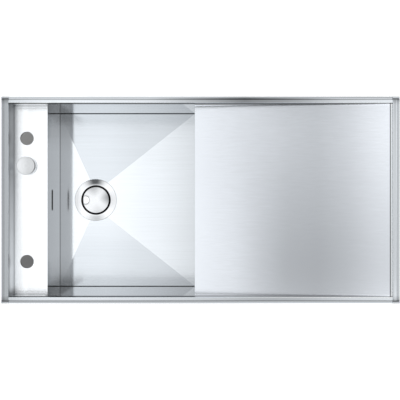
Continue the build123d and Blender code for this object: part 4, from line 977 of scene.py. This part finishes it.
def damping_pad(name, size, place):
    """A pad with a plain border round a field of raised blocks."""
    length, width = size
    field_length = length - 2 * PAD_BORDER
    field_width = width - 2 * PAD_BORDER
    clear_selection()
    bpy.ops.mesh.primitive_grid_add(
        x_subdivisions=round(field_length / PAD_CELL),
        y_subdivisions=round(field_width / PAD_CELL),
        size=1,
        location=(0, 0, 0),
    )
    pad = bpy.context.object
    pad.name = name
    bpy.ops.object.mode_set(mode="EDIT")
    bpy.ops.mesh.select_all(action="SELECT")
    bpy.ops.transform.resize(value=(field_length, field_width, 1), center_override=(0, 0, 0))
    bpy.ops.transform.translate(value=(0, 0, PAD_THICKNESS - PAD_RELIEF))
    bpy.ops.mesh.inset(thickness=PAD_GROOVE / 2, depth=PAD_RELIEF, use_individual=True)
    bpy.ops.mesh.select_mode(type="EDGE")
    bpy.ops.mesh.select_all(action="DESELECT")
    bpy.ops.mesh.select_non_manifold()
    extrude_by(0, 0, PAD_RELIEF)
    extrude_by(0, 0, 0)
    bpy.ops.transform.resize(value=(length / field_length, width / field_width, 1), center_override=(0, 0, 0))
    extrude_by(0, 0, -PAD_THICKNESS)
    bpy.ops.mesh.edge_face_add()
    bpy.ops.mesh.select_all(action="SELECT")
    bpy.ops.mesh.normals_make_consistent(inside=False)
    bpy.ops.object.mode_set(mode="OBJECT")
    edge_round = pad.modifiers.new("edge", "BEVEL")
    edge_round.width = PAD_EDGE_ROUND
    edge_round.segments = 2
    edge_round.limit_method = "ANGLE"
    apply_all(pad)
    bpy.ops.object.shade_smooth_by_angle(angle=PAD_SMOOTH_ANGLE)
    pad.matrix_world = place
    bpy.ops.object.transform_apply(location=True, rotation=True, scale=True)
    return pad


def join_pads(pads, name, node):
    """Make one piece of several pads that share a CAD node."""
    clear_selection()
    for pad in pads:
        pad.select_set(True)
    bpy.context.view_layer.objects.active = pads[0]
    bpy.ops.object.join()
    pads[0].name = name
    seat(pads[0], pad_rubber, "damping_pad", node)


def bowl_pads():
    middle = (BOWL_LEFT + BOWL_RIGHT) / 2
    rear = lay_on((middle, WALL_OUTSIDE, WALL_PAD_Z), (0, 1, 0), (1, 0, 0))
    front = lay_on((middle, -WALL_OUTSIDE, WALL_PAD_Z), (0, -1, 0), (1, 0, 0))
    end = lay_on((BOWL_END_OUTSIDE, 0, WALL_PAD_Z), (1, 0, 0), (0, 1, 0))
    pads = [damping_pad("bowl_pad", WALL_PAD, place) for place in (rear, front, end)]
    join_pads(pads, "bowl_damping_pads", "bowl_sound_pads")


def drainer_pads():
    slope = Vector((DRAINER_RUN, 0, DRAINER_RISE)).normalized()
    below = Vector((slope.z, 0, -slope.x))
    start = Vector(DRAINER_UNDERSIDE)
    pads = []
    for distance in DRAINER_PAD_PLACES:
        pads.append(damping_pad("drainer_pad", DRAINER_PAD, lay_on(start + slope * distance, below, slope)))
    join_pads(pads, "drainer_damping_pads", "drainer_sound_pads")


overflow_hose()
cable_sheath()
bowl_pads()
drainer_pads()

# Stage: pale floor, soft light from above and the camera straight over the sink

CAMERA_X = -0.0014
CAMERA_DISTANCE = 1.52
CAMERA_LENS = 54.66
CAMERA_SENSOR = 36.0
FLOOR_SIZE = 60.0
FLOOR_Z = -0.325
# Where the sink's shade on the floor ends, from full shade to none
SHADE_END_X = (0.552, 0.606)
SHADE_END_Y = (0.215, 0.313)
# The shade pales from front to rear
SHADE_PALES_Y = (-0.19, 0.19)
SHADE_FRONT = 0.25
SHADE_REAR = 0.38
FLOOR_PALE = 0.85
SOFTBOX_HEIGHT = 1.05
SOFTBOX_HALF = 1.2
SOFTBOX_STRENGTH = 1.35
SOFTBOX_FADE_START = 0.45
# Share of the softbox's strength at places along X
SOFTBOX_STOPS = [
    (-1.20, 0.50), (-0.84, 0.55), (-0.78, 1.00), (-0.45, 1.00), (-0.30, 0.90), (-0.14, 0.82), (0.00, 0.72),
    (0.12, 0.58), (0.24, 0.47), (0.37, 0.44), (0.49, 0.52), (0.62, 0.68), (0.80, 0.82), (1.20, 0.80),
]
# Brightness over the drainer at places along Y, against its middle, and where along X it sets in
SOFTBOX_DEPTH = [
    (-0.42, 1.1), (-0.36, 0.78), (-0.16, 0.89), (0.0, 1.0), (0.16, 1.12), (0.33, 1.24), (0.45, 1.1),
]
SOFTBOX_DEPTH_X = (0.02, 0.22)
# The depth's levels are halved in their ramp, which holds none over 1, and the strength makes up for it
DEPTH_SHARE = 0.5


def studio_floor():
    """Pale floor, white to the camera, with the sink's own shade below it, and clear from underneath."""
    clear_selection()
    bpy.ops.mesh.primitive_plane_add(size=FLOOR_SIZE, location=(0, 0, FLOOR_Z))
    floor = bpy.context.object
    floor.name = "studio_floor"
    paint = bpy.data.materials.new("Studio floor")
    paint.use_nodes = True
    tree = paint.node_tree
    shader = tree.nodes["Principled BSDF"]
    shader.inputs["Roughness"].default_value = 0.9
    across, along, _ = split(tree, object_place(tree))
    beside = add_range(tree, add_math(tree, "ABSOLUTE", across), *SHADE_END_X)
    before = add_range(tree, add_math(tree, "ABSOLUTE", along), *SHADE_END_Y)
    clear_of_sink = add_math(tree, "MAXIMUM", beside, before)
    below = add_mix(tree, add_range(tree, along, *SHADE_PALES_Y), grey(SHADE_FRONT), grey(SHADE_REAR))
    tree.links.new(add_mix(tree, clear_of_sink, below, grey(FLOOR_PALE)), shader.inputs["Base Color"])
    seen = add_node(tree, "ShaderNodeLightPath").outputs["Is Camera Ray"]
    tree.links.new(add_math(tree, "MULTIPLY", clear_of_sink, seen), shader.inputs["Emission Strength"])
    shader.inputs["Emission Color"].default_value = grey(1.0)
    underside = add_node(tree, "ShaderNodeNewGeometry").outputs["Backfacing"]
    clear_view = add_node(tree, "ShaderNodeBsdfTransparent")
    choice = add_node(tree, "ShaderNodeMixShader")
    tree.links.new(underside, choice.inputs["Fac"])
    tree.links.new(shader.outputs["BSDF"], choice.inputs[1])
    tree.links.new(clear_view.outputs["BSDF"], choice.inputs[2])
    tree.links.new(choice.outputs["Shader"], tree.nodes["Material Output"].inputs["Surface"])
    floor.data.materials.append(paint)


def brightness_ramp(tree, value, stops, share):
    """Brightness along the softbox, from places and levels, each level taken times share."""
    ramp = add_node(tree, "ShaderNodeValToRGB")
    tree.links.new(add_range(tree, value, -SOFTBOX_HALF, SOFTBOX_HALF), ramp.inputs["Fac"])
    elements = ramp.color_ramp.elements
    while len(elements) < len(stops):
        elements.new(0.5)
    for element, (place, level) in zip(elements, stops):
        element.position = (place + SOFTBOX_HALF) / (2 * SOFTBOX_HALF)
        element.color = grey(level * share)
    return ramp.outputs["Color"]


def overhead_softbox():
    """Large soft panel over the sink, brightest over the tap deck, which the camera looks through."""
    clear_selection()
    bpy.ops.mesh.primitive_plane_add(size=2 * SOFTBOX_HALF, location=(0, 0, SOFTBOX_HEIGHT))
    panel = bpy.context.object
    panel.name = "overhead_softbox"
    panel.visible_camera = False
    glow = bpy.data.materials.new("Softbox cloth")
    glow.use_nodes = True
    tree = glow.node_tree
    tree.nodes.remove(tree.nodes["Principled BSDF"])
    across, along, _ = split(tree, object_place(tree))
    along_x = brightness_ramp(tree, across, SOFTBOX_STOPS, 1.0)
    along_y = brightness_ramp(tree, along, SOFTBOX_DEPTH, DEPTH_SHARE)
    over_drainer = add_range(tree, across, *SOFTBOX_DEPTH_X)
    depth = add_mix(tree, over_drainer, grey(DEPTH_SHARE), along_y)
    glow_level = add_mix(tree, 1.0, along_x, depth, blend="MULTIPLY")
    off_axis = add_math(tree, "ABSOLUTE", along)
    fade = add_range(tree, off_axis, SOFTBOX_FADE_START, SOFTBOX_HALF, at_start=1 / DEPTH_SHARE, at_end=1.0)
    emission = add_node(tree, "ShaderNodeEmission")
    tree.links.new(glow_level, emission.inputs["Color"])
    tree.links.new(add_math(tree, "MULTIPLY", fade, SOFTBOX_STRENGTH), emission.inputs["Strength"])
    tree.links.new(emission.outputs["Emission"], tree.nodes["Material Output"].inputs["Surface"])
    panel.data.materials.append(glow)


def studio_room():
    """Dim room round the stage, darker at eye level than towards the ceiling, and white behind the sink."""
    world = bpy.data.worlds.new("Studio")
    world.use_nodes = True
    bpy.context.scene.world = world
    sky = world.node_tree
    toward = split(sky, add_node(sky, "ShaderNodeTexCoord").outputs["Generated"])
    lift = add_range(sky, toward["Z"], start=0.05, end=0.55, at_start=0.45, at_end=0.78)
    seen = add_node(sky, "ShaderNodeLightPath").outputs["Is Camera Ray"]
    background = sky.nodes.get("Background") or add_node(sky, "ShaderNodeBackground")
    sky.links.new(add_math(sky, "MAXIMUM", lift, seen), background.inputs["Strength"])
    background.inputs["Color"].default_value = grey(1.0)


studio_floor()
overhead_softbox()
studio_room()
scene = bpy.context.scene
scene.view_settings.view_transform = "Standard"

clear_selection()
bpy.ops.object.camera_add(location=(CAMERA_X, 0.0, RIM_TOP + CAMERA_DISTANCE), rotation=(0, 0, 0))
camera = bpy.context.object
camera.name = "photo_camera"
camera.data.sensor_width = CAMERA_SENSOR
camera.data.lens = CAMERA_LENS
camera.data.clip_start = 0.01
scene.camera = camera
